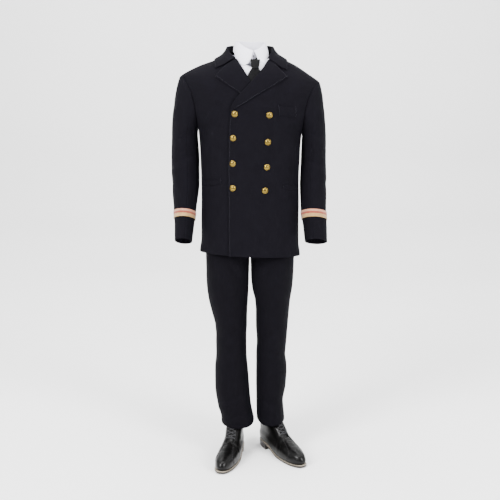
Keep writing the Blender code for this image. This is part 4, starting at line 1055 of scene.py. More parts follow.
def wall_mesh(name, outer, inner, ring, across, along):
    """A closed wall between two grids, with the cut's own flat place of each corner as its UV map."""
    rows, columns = outer.shape[:2]
    spans = columns if ring else columns - 1
    inside = rows * columns
    points = np.concatenate([outer.reshape(-1, 3), inner.reshape(-1, 3)])
    points[:, 2] -= HOLD_HEIGHT
    if ring:
        wrap = across[:, -1:] + np.linalg.norm(outer[:, :1] - outer[:, -1:], axis=2)
        across = np.concatenate([across, wrap], axis=1)
        along = np.concatenate([along, along[:, :1]], axis=1)
    wide = across.shape[1]
    flat = np.stack([across, along], axis=2).reshape(-1, 2)
    i, j = np.meshgrid(np.arange(rows - 1), np.arange(spans), indexing="ij")
    k = (j + 1) % columns
    quads = np.stack([i * columns + j, i * columns + k, (i + 1) * columns + k, (i + 1) * columns + j], axis=2)
    cuts = np.stack([i * wide + j, i * wide + j + 1, (i + 1) * wide + j + 1, (i + 1) * wide + j], axis=2)
    quads = quads.reshape(-1, 4)
    cuts = cuts.reshape(-1, 4)
    rims = []
    rim_cuts = []
    for row, turned in ((0, True), (rows - 1, False)):
        for column in range(spans):
            a = row * columns + column
            b = row * columns + (column + 1) % columns
            ends = (b, a) if turned else (a, b)
            rims.append((ends[0], ends[1], ends[1] + inside, ends[0] + inside))
            cut = (row * wide + column + 1, row * wide + column)
            cut = cut if turned else cut[::-1]
            rim_cuts.append((cut[0], cut[1], cut[1], cut[0]))
    if not ring:
        for column, turned in ((0, False), (columns - 1, True)):
            for row in range(rows - 1):
                a = row * columns + column
                b = (row + 1) * columns + column
                ends = (b, a) if turned else (a, b)
                rims.append((ends[0], ends[1], ends[1] + inside, ends[0] + inside))
                cut = (b, a) if turned else (a, b)
                rim_cuts.append((cut[0], cut[1], cut[1], cut[0]))
    faces = np.concatenate([quads, quads[:, ::-1] + inside, np.array(rims)])
    cuts = np.concatenate([cuts, cuts[:, ::-1], np.array(rim_cuts)])
    mesh = bpy.data.meshes.new(name)
    mesh.from_pydata(points.tolist(), [], faces.tolist())
    layer = mesh.uv_layers.new(name="cut")
    layer.data.foreach_set("uv", flat[cuts.reshape(-1)].reshape(-1))
    shape = bmesh.new()
    shape.from_mesh(mesh)
    bmesh.ops.recalc_face_normals(shape, faces=shape.faces)
    shape.to_mesh(mesh)
    shape.free()
    mesh.shade_smooth()
    return mesh


# Creases: soft troughs and ridges, each a row with its middle, lean in degrees, length, width and rise.


def creases(table, right, up):
    """How far the creases of a table lift each place, from two arrays of coordinates in metres."""
    total = np.zeros_like(right)
    for _, x, height, lean, length, width, rise in table.rows:
        lean = math.radians(lean)
        to_right = right - x
        to_up = up - height
        across = to_right * math.cos(lean) - to_up * math.sin(lean)
        along = to_right * math.sin(lean) + to_up * math.cos(lean)
        reach = np.clip(1 - (2 * along / length) ** 2, 0.0, 1.0)
        total += rise * np.exp(-((across / width) ** 2)) * reach**2
    return total


def unevenness(points, size, amount, seed):
    """Slow waves that no made cloth is free of. size is their rough length in metres."""
    total = np.zeros(points.shape[:2])
    for i in range(5):
        turn = seed * 1.7 + i * 2.399
        rise = 0.9 * math.sin(seed * 2.3 + i * 1.3)
        direction = np.array([math.cos(turn), math.sin(turn) * 0.6, rise])
        wave = 2 * math.pi / (size * (0.7 + 0.22 * i))
        total += np.sin(points @ direction * wave + seed * 3.1 + i * 1.9)
    return total * amount / 5


COAT_FRONT_CREASES = Table(
    "order x height lean length width rise",
    (0, -0.115, 1.330, 18, 0.170, 0.016, -0.0030),
    (1, -0.090, 1.250, 14, 0.150, 0.018, 0.0022),
    (2, 0.135, 1.400, -20, 0.120, 0.016, -0.0026),
    (3, 0.168, 1.190, -24, 0.110, 0.011, 0.0030),
    (4, 0.152, 1.130, -34, 0.120, 0.013, -0.0028),
    (5, 0.018, 0.920, -24, 0.220, 0.022, 0.0026),
    (6, 0.050, 0.860, -20, 0.180, 0.020, -0.0026),
    (7, -0.060, 0.880, 10, 0.200, 0.022, -0.0022),
    (8, -0.120, 0.900, 6, 0.240, 0.022, 0.0026),
    (9, 0.120, 0.890, -8, 0.240, 0.024, 0.0026),
    (10, -0.155, 1.290, 30, 0.120, 0.010, -0.0026),
    (11, -0.148, 1.235, 26, 0.110, 0.010, 0.0020),
    (12, 0.160, 1.300, -32, 0.120, 0.010, -0.0024),
    (13, 0.108, 1.420, -8, 0.090, 0.009, -0.0016),
    (14, -0.020, 1.170, 3, 0.260, 0.026, -0.0014),
    (15, 0.010, 1.010, -10, 0.200, 0.020, 0.0016),
)
COAT_BACK_CREASES = Table(
    "order x height lean length width rise",
    (0, -0.110, 1.330, -24, 0.200, 0.018, -0.0034),
    (1, 0.115, 1.320, 22, 0.210, 0.018, -0.0036),
    (2, -0.060, 1.150, -8, 0.260, 0.022, 0.0028),
    (3, 0.070, 1.120, 10, 0.240, 0.022, 0.0024),
    (4, -0.120, 0.900, 5, 0.260, 0.022, -0.0028),
    (5, 0.100, 0.890, -6, 0.270, 0.024, -0.0028),
    (6, 0.000, 1.470, 90, 0.180, 0.012, -0.0018),
    (7, -0.150, 1.250, -30, 0.140, 0.012, 0.0024),
    (8, 0.152, 1.240, 28, 0.140, 0.012, 0.0026),
    (9, 0.030, 0.960, 14, 0.200, 0.018, 0.0022),
)
# On the sleeves x is the way round in metres from the outer side towards the front.
SLEEVE_CREASES = {
    RIGHT: Table(
        "order x height lean length width rise",
        (0, 0.030, 1.385, 34, 0.120, 0.013, -0.0026),
        (1, 0.060, 1.340, 30, 0.110, 0.012, 0.0022),
        (2, 0.085, 1.240, 62, 0.130, 0.012, -0.0030),
        (3, 0.080, 1.205, 70, 0.120, 0.011, 0.0026),
        (4, 0.095, 1.165, 76, 0.130, 0.011, -0.0034),
        (5, 0.060, 1.120, 66, 0.140, 0.013, 0.0028),
        (6, 0.020, 1.075, 50, 0.120, 0.014, -0.0024),
        (7, -0.060, 1.180, -60, 0.150, 0.014, 0.0026),
        (8, -0.080, 1.130, -66, 0.130, 0.012, -0.0028),
        (9, 0.010, 1.000, 20, 0.130, 0.014, 0.0018),
        (10, -0.090, 1.330, -30, 0.140, 0.014, -0.0026),
        (11, 0.045, 0.985, 80, 0.080, 0.009, -0.0014),
    ),
    LEFT: Table(
        "order x height lean length width rise",
        (0, 0.020, 1.375, 30, 0.120, 0.013, -0.0024),
        (1, 0.070, 1.330, 36, 0.120, 0.012, 0.0024),
        (2, 0.090, 1.250, 66, 0.130, 0.012, -0.0032),
        (3, 0.075, 1.200, 74, 0.120, 0.011, 0.0028),
        (4, 0.098, 1.150, 78, 0.130, 0.010, -0.0034),
        (5, 0.050, 1.105, 60, 0.140, 0.013, 0.0026),
        (6, 0.000, 1.060, 44, 0.130, 0.014, -0.0022),
        (7, -0.060, 1.170, -58, 0.150, 0.014, 0.0028),
        (8, -0.085, 1.125, -68, 0.130, 0.012, -0.0026),
        (9, 0.030, 0.990, 14, 0.130, 0.014, 0.0018),
        (10, -0.080, 1.320, -34, 0.140, 0.014, -0.0024),
    ),
}
TROUSER_FRONT_CREASES = Table(
    "order x height lean length width rise",
    (0, -0.060, 0.745, -38, 0.130, 0.012, -0.0034),
    (1, 0.062, 0.740, 40, 0.130, 0.012, -0.0034),
    (2, -0.100, 0.715, -46, 0.120, 0.013, 0.0026),
    (3, 0.105, 0.710, 48, 0.120, 0.013, 0.0026),
    (4, -0.090, 0.490, 62, 0.140, 0.013, -0.0034),
    (5, -0.075, 0.455, 70, 0.130, 0.012, 0.0030),
    (6, -0.060, 0.420, 76, 0.110, 0.011, -0.0026),
    (7, 0.095, 0.470, -60, 0.140, 0.013, -0.0034),
    (8, 0.085, 0.430, -70, 0.120, 0.012, 0.0032),
    (9, 0.110, 0.365, -64, 0.120, 0.011, -0.0036),
    (10, 0.118, 0.335, -58, 0.110, 0.011, 0.0032),
    (11, -0.075, 0.235, 66, 0.130, 0.012, -0.0036),
    (12, -0.085, 0.205, 60, 0.120, 0.012, 0.0034),
    (13, 0.080, 0.215, -68, 0.120, 0.012, -0.0034),
    (14, 0.075, 0.180, -74, 0.110, 0.011, 0.0034),
    (15, -0.060, 0.165, 78, 0.100, 0.010, -0.0030),
    (16, 0.095, 0.600, -12, 0.220, 0.020, 0.0022),
    (17, -0.100, 0.610, 10, 0.220, 0.020, 0.0022),
)
TROUSER_BACK_CREASES = Table(
    "order x height lean length width rise",
    (0, -0.070, 0.760, 44, 0.130, 0.013, -0.0036),
    (1, 0.072, 0.755, -44, 0.130, 0.013, -0.0036),
    (2, -0.090, 0.470, -70, 0.140, 0.013, -0.0038),
    (3, -0.080, 0.440, -76, 0.130, 0.012, 0.0034),
    (4, -0.085, 0.405, -80, 0.130, 0.012, -0.0034),
    (5, 0.090, 0.480, 68, 0.140, 0.013, -0.0038),
    (6, 0.085, 0.450, 76, 0.130, 0.012, 0.0034),
    (7, 0.092, 0.415, 82, 0.120, 0.012, -0.0032),
    (8, -0.070, 0.220, -72, 0.130, 0.012, -0.0034),
    (9, 0.080, 0.210, 70, 0.130, 0.012, -0.0034),
    (10, -0.070, 0.185, -78, 0.120, 0.011, 0.0034),
    (11, 0.085, 0.175, 76, 0.120, 0.011, 0.0034),
)


def coat_relief(points):
    """The coat's creases, front and back, and the hem's corners that stand out at the side seams."""
    x = points[..., 0]
    height = points[..., 2]
    front = soft_step(-points[..., 1], -0.030, 0.060)
    back = soft_step(points[..., 1], -0.020, 0.070)
    total = creases(COAT_FRONT_CREASES, x, height) * front
    total += creases(COAT_BACK_CREASES, x, height) * back
    total += unevenness(points, 0.16, 0.0012, 1.0)
    corner = (1 - soft_step(height + LEAN * x, 0.800, 0.850)) * soft_step(np.abs(x), 0.165, 0.188)
    return total + 0.0055 * corner


def sleeve_relief(side):
    sections = COAT_SLEEVES[side].sections

    def relief(points):
        height = points[..., 2]
        flat_height = height.reshape(-1)
        keys = -flat_height
        middle_x = np.interp(keys, sections.keys, sections.values["x"]).reshape(height.shape)
        middle_y = np.interp(keys, sections.keys, sections.values["y"]).reshape(height.shape)
        angle = np.arctan2(-(points[..., 1] - middle_y), points[..., 0] * side - middle_x)
        total = creases(SLEEVE_CREASES[side], angle * 0.060, height)
        lower = soft_step(height, 0.985, 1.03)
        return total * blend(0.25, 1.0, lower) + unevenness(points, 0.11, 0.0009, 2.0 + side)

    return relief


def trouser_relief(points):
    x = points[..., 0]
    height = points[..., 2]
    front = soft_step(-points[..., 1], -0.050, 0.030)
    total = creases(TROUSER_FRONT_CREASES, x, height) * front
    total += creases(TROUSER_BACK_CREASES, x, height) * (1 - front)
    return total + unevenness(points, 0.13, 0.0012, 4.0)


def shirt_relief(points):
    return unevenness(points, 0.09, 0.0008, 6.0)


# The jacket.

COAT_HEM = 0.8010
COAT_EDGES = {
    LEFT: Table(
        "height x",
        (0.800, -0.0790),
        (1.050, -0.0800),
        (1.250, -0.0770),
        (1.339, -0.0690),
        (1.445, 0.0100),
        (1.482, 0.0430),
        (1.530, 0.0740),
    ),
    RIGHT: Table(
        "height x",
        (0.800, 0.0740),
        (1.200, 0.0740),
        (1.345, 0.0620),
        (1.4615, -0.0110),
        (1.525, -0.0520),
        (1.535, -0.0590),
    ),
}
NECK_X = 0.080
SEAM_TURN = QUARTER_TURN - 0.0003


def on_stops(stops):
    """A function of 0 to 1 along stops, each at its share of the whole length."""
    lengths = [0.0]
    for low, high in zip(stops, stops[1:]):
        lengths.append(lengths[-1] + math.hypot((high[0] - low[0]) * 0.15, high[1] - low[1]))
    keyed = [(length / lengths[-1], stop) for length, stop in zip(lengths, stops)]
    return lambda share: along_line(keyed, share)


def length_shares(stops):
    lengths = [0.0]
    for low, high in zip(stops, stops[1:]):
        lengths.append(lengths[-1] + math.hypot((high[0] - low[0]) * 0.15, high[1] - low[1]))
    return [length / lengths[-1] for length in lengths]


def coat_front_edge(side):
    """The front's edge from the hem up to the neck point, as places on the coat."""
    table = COAT_EDGES[side]
    stops = [COAT.place(table.at(height, "x"), height) for height in spread(60, COAT_HEM, table.keys[-1])]
    stops.append((side * COAT.place(NECK_X, COAT.shoulder_height(NECK_X))[0], 0.0001))
    return stops


# Degrees round the armhole where the panels' rows and the sleeve's columns meet, from the underarm up.
ARMHOLE_STATIONS = {
    FRONT: [180, 168, 156, 143, 131, 118, 106, 95, 84, 73, 63, 52, 42, 31, 21, 10, 0],
    BACK: [180, 170, 160, 149, 139, 128, 118, 106, 94, 82, 70, 58, 47, 35, 23, 11, 0],
}
SLEEVE_FRONT_SEAM = 106
SLEEVE_BACK_SEAM = 242


def side_and_armhole(torso, side, hem, way, seam_rows):
    """Rows' outer ends: up the side seam from the hem, then round the armhole to the shoulder's tip."""
    under = torso.armhole.keys[0]
    tip = torso.armhole.keys[-1]
    stops = []
    for height in spread(seam_rows, hem, under)[:-1]:
        fall = torso.fall_at(torso.sections.at(height, "half_width"), height)
        stops.append((side * SEAM_TURN, fall))
    for degrees in ARMHOLE_STATIONS[way]:
        height = (tip + under) / 2 + (tip - under) / 2 * math.cos(math.radians(degrees))
        turn, fall = torso.armhole_place(height)
        stops.append((side * min(turn, SEAM_TURN), max(fall, 0.0001)))
    return stops


def hem_curve(torso, start, corner, hem):
    """How far the level hem leaves the straight line between its two ends."""

    def rise(share):
        turn = blend(start, corner, share)
        low = torso.sections.at(hem, "half_width")
        x = low * signed_power(math.sin(turn), 2 / ROUNDNESS)
        reaches = [low * signed_power(math.sin(end), 2 / ROUNDNESS) for end in (start, corner)]
        ends = [torso.fall_at(reach, hem) for reach in reaches]
        return torso.fall_at(x, hem) - blend(ends[0], ends[1], share)

    return rise


def body_panel(torso, left, outer, top, hem, columns, way):
    """Places on one panel between a left edge, its rows' outer ends, the hem and a top edge."""
    right = on_stops(outer)
    start = left(0.0)
    corner = outer[0]
    rise = hem_curve(torso, start[0], corner[0], hem)

    def bottom(share):
        return blend(start[0], corner[0], share), blend(start[1], corner[1], share) + rise(share)

    rows = length_shares(outer)
    return [[(*patch(left, right, bottom, top, across, up), way) for across in columns] for up in rows]


def raised(surface, places, lift=0.0):
    """Points over places on a surface. lift is a distance, or a function of the point below."""
    result = []
    for row in places:
        points = []
        for place in row:
            spot = surface.point(*place)
            out = lift(spot) if callable(lift) else lift
            points.append(spot + surface.normal(*place) * out if out else spot)
        result.append(points)
    return result


def front_lift(spot):
    """How far the left front stands out where it lies over the right front and the right lapel."""
    over_front = (1 - soft_step(spot.x, 0.078, 0.125)) * (1 - soft_step(spot.z, 1.455, 1.510))
    over_lapel = soft_step(spot.z, 1.315, 1.355)
    return float((COAT_CLOTH + WIDE_EASE) * over_front * (1 + over_lapel))


FACING_FRONT = (0.0, -1.0, 0.0)
FACING_BACK = (0.0, 1.0, 0.0)


def make_coat_fronts():
    for side in (RIGHT, LEFT):
        stops = coat_front_edge(side)
        outer = side_and_armhole(COAT, side, COAT_HEM, FRONT, 18)
        top = on_stops([stops[-1], outer[-1]])
        places = body_panel(COAT, on_stops(stops), outer, top, COAT_HEM, spread(16), FRONT)
        over = ("jacket_front_right", "jacket_lapel_right") if side == LEFT else ()
        make_cloth(
            f"jacket_front_{SIDE_NAMES[side]}",
            raised(COAT, places, front_lift if side == LEFT else 0.0),
            FACING_FRONT,
            COAT_CLOTH,
            COAT_WOOL,
            relief=coat_relief,
            fade=("top",),
            over=over,
            clear=WIDE_EASE * 0.8,
            slot="coat_wool",
            settle=True,
        )
        make_lapel(side)


# The back neckline as shares of the neck's half width and of its fall.
NECK_HOLLOW = ((0.30, 0.94), (0.55, 0.80), (0.76, 0.55), (0.9, 0.3))


def make_coat_backs():
    neck = COAT.place(NECK_X, COAT.shoulder_height(NECK_X))[0]
    neck_fall = COAT.fall_at(0.0, 1.545)
    for side in (RIGHT, LEFT):
        centre = side * 0.0001
        left = on_stops([(centre, COAT.fall_at(0.0, COAT_HEM)), (centre, neck_fall)])
        outer = side_and_armhole(COAT, side, COAT_HEM, BACK, 18)
        hollow = [(centre, neck_fall)]
        hollow += [(side * neck * out, neck_fall * down) for out, down in NECK_HOLLOW]
        stops = hollow + [(side * neck, 0.0001), outer[-1]]
        places = body_panel(COAT, left, outer, on_stops(stops), COAT_HEM, spread(18), BACK)
        make_cloth(
            f"jacket_back_{SIDE_NAMES[side]}",
            raised(COAT, places),
            FACING_BACK,
            COAT_CLOTH,
            COAT_WOOL,
            relief=coat_relief,
            fade=("top",),
            slot="coat_wool",
            settle=True,
        )


# Each lapel as a front view: the roll line's top, the notch, the tip, and the foot of its outer edge.
LAPELS = {
    LEFT: {"gorge": 1.520, "notch": (0.107, 1.4846), "tip": (0.138, 1.4650), "foot": 1.3420},
    RIGHT: {"gorge": 1.524, "notch": (-0.095, 1.4920), "tip": (-0.126, 1.4566), "foot": 1.4060},
}
LAPEL_FEET = {LEFT: (-0.0610, 1.3394), RIGHT: (-0.0180, 1.3880)}
LAPEL_PUFF = 0.0022
ROLL_OUT = 0.0030


def make_lapel(side):
    """A lapel turns over the front's edge in a soft roll, stands a little proud and lies flat again."""
    shape = LAPELS[side]
    table = COAT_EDGES[side]
    roll = [(table.at(height, "x"), height) for height in spread(24, shape["foot"], shape["gorge"] - 0.001)]
    left = on_stops([COAT.place(*stop) for stop in roll])
    notch = (shape["notch"][0], shape["notch"][1] - 0.001)
    ends = (Vector((*LAPEL_FEET[side], 0)), Vector((*shape["tip"], 0)))
    right = on_stops([COAT.place(*blend(*ends, share)[:2]) for share in spread(20)])
    # The lapel's upper edge runs on a little way under the collar, so the gorge seam is a step.
    under = (roll[-1][0] + side * 0.001, roll[-1][1] + 0.0040)
    notch = (notch[0], notch[1] + 0.0030)
    top = on_stops([COAT.place(*under), COAT.place(*notch), COAT.place(*shape["tip"])])
    bottom = on_stops([COAT.place(*roll[0]), COAT.place(*LAPEL_FEET[side])])
    extra = front_lift if side == LEFT else lambda spot: 0.0
    grid = []
    for up in spread(22):
        row = []
        places = [(*patch(left, right, bottom, top, across, up), FRONT) for across in spread(14)]
        first = COAT.point(*places[0])
        across = (first - COAT.point(*places[1])).normalized()
        normal = COAT.normal(*places[0])
        base = first + normal * extra(first)
        turned = min(1.0, up * 3 + 0.15)
        # The roll: from under the front's edge round to its face.
        for out, lift in ((0.35, -0.0012), (1.0, 0.0006), (0.95, 0.0026)):
            row.append(base + across * ROLL_OUT * out * turned + normal * lift)
        for share, place in zip(spread(14), places):
            spot = COAT.point(*place)
            puff = LAPEL_PUFF * math.sin(math.pi * min(1.0, share * 0.96 + 0.04)) ** 0.8 * min(1.0, 2.5 * up)
            row.append(spot + COAT.normal(*place) * (LAYER + 0.0008 + extra(spot) + puff))
        grid.append(row)
    make_cloth(
        f"jacket_lapel_{SIDE_NAMES[side]}",
        grid,
        FACING_FRONT,
        COAT_CLOTH,
        COAT_WOOL,
        pitch=0.0035,
        over=(f"jacket_front_{SIDE_NAMES[side]}",),
        clear=0.0004,
        slot="coat_wool",
        held="folded",
        settle=True,
    )


COLLAR_STATIONS = Table(
    "order fold_x fold_y fold_z edge_x edge_y edge_z",
    (0, -0.0555, -0.0800, 1.5290, -0.1300, -0.0870, 1.4914),
    (1, -0.0800, -0.0400, 1.5540, -0.1330, -0.0500, 1.5140),
    (2, -0.0880, 0.0020, 1.5700, -0.1300, 0.0050, 1.5290),
    (3, -0.0780, 0.0440, 1.5790, -0.1180, 0.0660, 1.5240),
    (4, -0.0450, 0.0700, 1.5840, -0.0700, 0.0980, 1.5230),
    (5, 0.0000, 0.0790, 1.5855, 0.0000, 0.1070, 1.5220),
    (6, 0.0450, 0.0700, 1.5840, 0.0700, 0.0980, 1.5230),
    (7, 0.0780, 0.0440, 1.5790, 0.1180, 0.0660, 1.5240),
    (8, 0.0880, 0.0020, 1.5700, 0.1330, 0.0050, 1.5280),
    (9, 0.0820, -0.0400, 1.5540, 0.1390, -0.0500, 1.5110),
    (10, 0.0640, -0.0800, 1.5270, 0.1390, -0.0830, 1.4890),
)


def make_coat_collar():
    below = ("jacket_front_right", "jacket_front_left", "jacket_back_right", "jacket_back_left")
    shares = spread(8)
    grid = []
    for order in spread(48, 0, 10):
        fold, edge = collar_station(order)
        out = Vector((edge.x - fold.x, edge.y - fold.y, 0)).normalized()
        nearness = max(0.0, 1 - min(order, 10 - order) / 1.4)
        shape = LAPELS[LEFT if order > 5 else RIGHT]
        notch_share = 0.56
        straight = blend(fold.z, edge.z, notch_share)
        row = []
        for share in shares:
            point = fold.lerp(edge, share)
            bow = 0.004 - 0.0078 * float(soft_step(abs(order - 5), 1.0, 2.5))
            point += (out + Vector((0, 0, 1))) * bow * share * (1 - share) * 4 * (1 - nearness)
            dip = 1 - abs(share - notch_share) / (notch_share if share < notch_share else 1 - notch_share)
            point.z += (shape["notch"][1] + 0.0012 - straight) * dip * nearness
            point.z -= float(drop(point.x, point.z))
            row.append(point)
        grid.append(row)
    for i, row in enumerate(grid):
        for j, point in enumerate(row):
            share = shares[j]
            tight = share >= 0.75 or (i in (0, len(grid) - 1) and j > 0)
            want = LAYER + 0.0020 + 0.004 * (1 - share)
            found = [made[name].tree.find_nearest(point) for name in below]
            near, direction, _, distance = min(found, key=lambda item: item[3])
            height = (point - near).dot(direction)
            facing = direction.dot(Vector((point.x, point.y - 0.01, 0.03)).normalized()) > 0.1
            if j and distance < 0.03 and facing and (height < want or tight):
                row[j] = point + direction * (want - height)
    rolled = []
    for order, row in zip(spread(48, 0, 10), grid):
        inward = Vector((-row[0].x, 0.01 - row[0].y, 0)).normalized()
        turned = [row[0] + inward * 0.0042 + Vector((0, 0, -0.0042))]
        turned.append(row[0] + inward * 0.0030 + Vector((0, 0, 0.0002)))
        rolled.append(turned + [row[0] + Vector((0, 0, 0.0008))] + row[1:])
    make_cloth(
        "jacket_collar",
        rolled,
        (0.0, 0.7, 0.7),
        COAT_CLOTH,
        COAT_WOOL,
        pitch=0.0035,
        over=below,
        clear=0.0008,
        slot="coat_wool",
        held="folded",
    )
    stand = []
    for order in spread(28, 1.4, 8.6):
        fold, _ = collar_station(order)
        inward = Vector((-fold.x, 0.01 - fold.y, 0)).normalized()
        top = fold + inward * (COAT_CLOTH + 0.0014) + Vector((0, 0, -0.0035))
        foot = Vector((fold.x * 0.94, fold.y * 0.94, 1.5545)) + inward * 0.002
        stand.append([blend(top, foot, share) for share in spread(4)])
    make_cloth(
        "jacket_collar_stand",
        stand,
        (0.0, 1.0, 0.0),
        COAT_CLOTH * 0.6,
        COAT_WOOL,
        pitch=0.005,
        slot="coat_wool",
        held="folded",
        settle=True,
    )


def collar_station(order):
    values = [COLLAR_STATIONS.at(order, name) for name in COLLAR_STATIONS.columns[1:]]
    return Vector(values[:3]), Vector(values[3:])


def sleeve_columns(part):
    """The angles of a sleeve part's columns, in degrees, which meet the body's rows at the armhole."""
    whole = set(ARMHOLE_STATIONS[FRONT])
    for degrees in ARMHOLE_STATIONS[BACK]:
        whole.update((360 - degrees, -degrees))
    low, high = SLEEVE_FRONT_SEAM, SLEEVE_BACK_SEAM
    if part == "top":
        low, high = SLEEVE_BACK_SEAM - 360, SLEEVE_FRONT_SEAM
    return [degrees for degrees in sorted(whole) if low <= degrees <= high and degrees != 360]


SLEEVE_ROWS = spread(10) + spread(18, 1.0, 2.0)[1:]


def turned_in(surface, places, grid):
    """The grid with two rows before its first: a seam allowance that lies under the next piece."""
    rows = []
    for reach, depth in ((0.0065, 0.0038), (0.0005, 0.0033)):
        row = []
        for place, near, far in zip(places[0], grid[0], grid[1]):
            row.append(near + (near - far).normalized() * reach - surface.normal(*place) * depth)
        rows.append(row)
    return rows + list(grid)


def make_coat_sleeves():
    for side in (RIGHT, LEFT):
        sleeve = COAT_SLEEVES[side]
        for part in ("top", "under"):
            places = []
            for down in SLEEVE_ROWS:
                places.append([(math.radians(degrees), down) for degrees in sleeve_columns(part)])
            middle = places[len(places) // 2]
            make_cloth(
                f"jacket_sleeve_{part}_{SIDE_NAMES[side]}",
                turned_in(sleeve, places, raised(sleeve, places)),
                sleeve.normal(*middle[len(middle) // 2]),
                COAT_CLOTH,
                COAT_WOOL,
                relief=sleeve_relief(side),
                fade=("bottom",),
                slot="coat_wool",
                settle=True,
            )


# The cuff's lace: how far up the sleeve each strip's two edges lie, from the end of the sleeve.
CUFF_LACE = {
    "gold_upper": (0.1000, 0.1080, PALE_LACE, "braid_gold"),
    "red": (0.0932, 0.0997, RED_LACE, "braid_red"),
    "gold_lower": (0.0800, 0.0929, GOLD_LACE, "braid_gold"),
}


def make_cuff_lace():
    for side in (RIGHT, LEFT):
        sleeve = COAT_SLEEVES[side]
        length = sleeve.sections.keys[-1] - sleeve.sections.keys[0]
        around = [math.radians(degrees) for degrees in sleeve_columns("top") + sleeve_columns("under")[1:-1]]
        below = (f"jacket_sleeve_top_{SIDE_NAMES[side]}", f"jacket_sleeve_under_{SIDE_NAMES[side]}")
        for lace, (low, high, material, slot) in CUFF_LACE.items():
            downs = [2 - blend(low, high, share) / length for share in spread(4)]
            places = [[(angle, down) for angle in around] for down in downs]
            make_cloth(
                f"cuff_lace_{lace}_{SIDE_NAMES[side]}",
                raised(sleeve, places, LACE_CLOTH + 0.0012),
                sleeve.normal(*places[2][len(around) // 2]),
                LACE_CLOTH,
                material,
                pitch=0.0022,
                ring=True,
                over=below,
                clear=0.0002,
                slot=slot,
                held="folded",
                settle=True,
            )


POCKETS = {
    "breast_pocket_welt": ((0.106, 1.3292), (0.168, 1.3282), (0.167, 1.3615), (0.100, 1.3643)),
    "hip_pocket_welt_right": ((-0.181, 1.0600), (-0.105, 1.0700), (-0.106, 1.0890), (-0.182, 1.0790)),
    "hip_pocket_welt_left": ((0.122, 1.0630), (0.181, 1.0575), (0.182, 1.0755), (0.123, 1.0775)),
}


def make_pockets():
    for name, corners in POCKETS.items():
        turns = [COAT.place(*corner) for corner in corners]
        places = []
        for up in spread(4):
            start = [blend(turns[0][i], turns[3][i], up) for i in range(2)]
            end = [blend(turns[1][i], turns[2][i], up) for i in range(2)]
            row = [(blend(start[0], end[0], s), blend(start[1], end[1], s), FRONT) for s in spread(10)]
            places.append(row)
        side = LEFT if corners[0][0] > 0 else RIGHT
        extra = front_lift if side == LEFT else lambda spot: 0.0
        make_cloth(
            name,
            raised(COAT, places, lambda spot: LAYER - 0.0004 + extra(spot)),
            FACING_FRONT,
            COAT_CLOTH,
            COAT_WOOL,
            pitch=0.003,
            relief=coat_relief,
            over=(f"jacket_front_{SIDE_NAMES[side]}",),
            clear=0.0001,
            slot="coat_wool",
            held="folded",
            settle=True,
        )


# The shirt.

SHIRT_HEM = 0.905
SHIRT_NECK_X = 0.066


def make_shirt():
    neck = SHIRT.place(SHIRT_NECK_X, SHIRT.shoulder_height(SHIRT_NECK_X))[0]
    neck_fall = SHIRT.fall_at(0.0, 1.492)
    for side in (RIGHT, LEFT):
        edge = -0.004 if side == LEFT else 0.020
        left = on_stops([SHIRT.place(edge, SHIRT_HEM), (SHIRT.place(edge, 1.49)[0], neck_fall)])
        outer = side_and_armhole(SHIRT, side, SHIRT_HEM, FRONT, 12)
        hollow = [left(1.0), (side * neck * 0.6, neck_fall * 0.72), (side * neck * 0.95, neck_fall * 0.3)]
        stops = hollow + [(side * neck, 0.0001), outer[-1]]
        places = body_panel(SHIRT, left, outer, on_stops(stops), SHIRT_HEM, spread(14), FRONT)

        def lift(spot):
            near_neck = 1 + 0.4 * soft_step(spot.z, 1.44, 1.47)
            return float(SHIRT_LAYER * near_neck * (1 - soft_step(spot.x, 0.034, 0.065)))

        make_cloth(
            f"shirt_front_{SIDE_NAMES[side]}",
            raised(SHIRT, places, lift if side == LEFT else 0.0),
            FACING_FRONT,
            SHIRT_CLOTH,
            SHIRT_COTTON,
            pitch=0.009,
            relief=shirt_relief,
            fade=("top",),
            over=("shirt_front_right",) if side == LEFT else (),
            clear=0.0012,
            slot="shirt_cotton",
            settle=True,
        )
    neck_fall = SHIRT.fall_at(0.0, 1.545)
    left = on_stops(side_and_armhole(SHIRT, RIGHT, SHIRT_HEM, BACK, 12))
    outer = side_and_armhole(SHIRT, LEFT, SHIRT_HEM, BACK, 12)
    hollow = [left(1.0), (-neck, 0.0001), (-neck * 0.6, neck_fall * 0.8), (0.0, neck_fall)]
    hollow += [(neck * 0.6, neck_fall * 0.8), (neck, 0.0001), outer[-1]]
    places = body_panel(SHIRT, left, outer, on_stops(hollow), SHIRT_HEM, spread(30), BACK)
    make_cloth(
        "shirt_back",
        raised(SHIRT, places),
        FACING_BACK,
        SHIRT_CLOTH,
        SHIRT_COTTON,
        pitch=0.009,
        relief=shirt_relief,
        fade=("top",),
        slot="shirt_cotton",
        settle=True,
    )
    for side in (RIGHT, LEFT):
        sleeve = shirt_sleeve(side)
        around = [math.radians(degrees) for degrees in sleeve_columns("top") + sleeve_columns("under")[1:-1]]
        places = [[(angle, down) for angle in around] for down in spread(6) + spread(12, 1.0, 2.0)[1:]]
        make_cloth(
            f"shirt_sleeve_{SIDE_NAMES[side]}",
            raised(sleeve, places),
            sleeve.normal(*places[9][len(around) // 2]),
            SHIRT_CLOTH,
            SHIRT_COTTON,
            pitch=0.010,
            ring=True,
            slot="shirt_cotton",
            settle=True,
        )


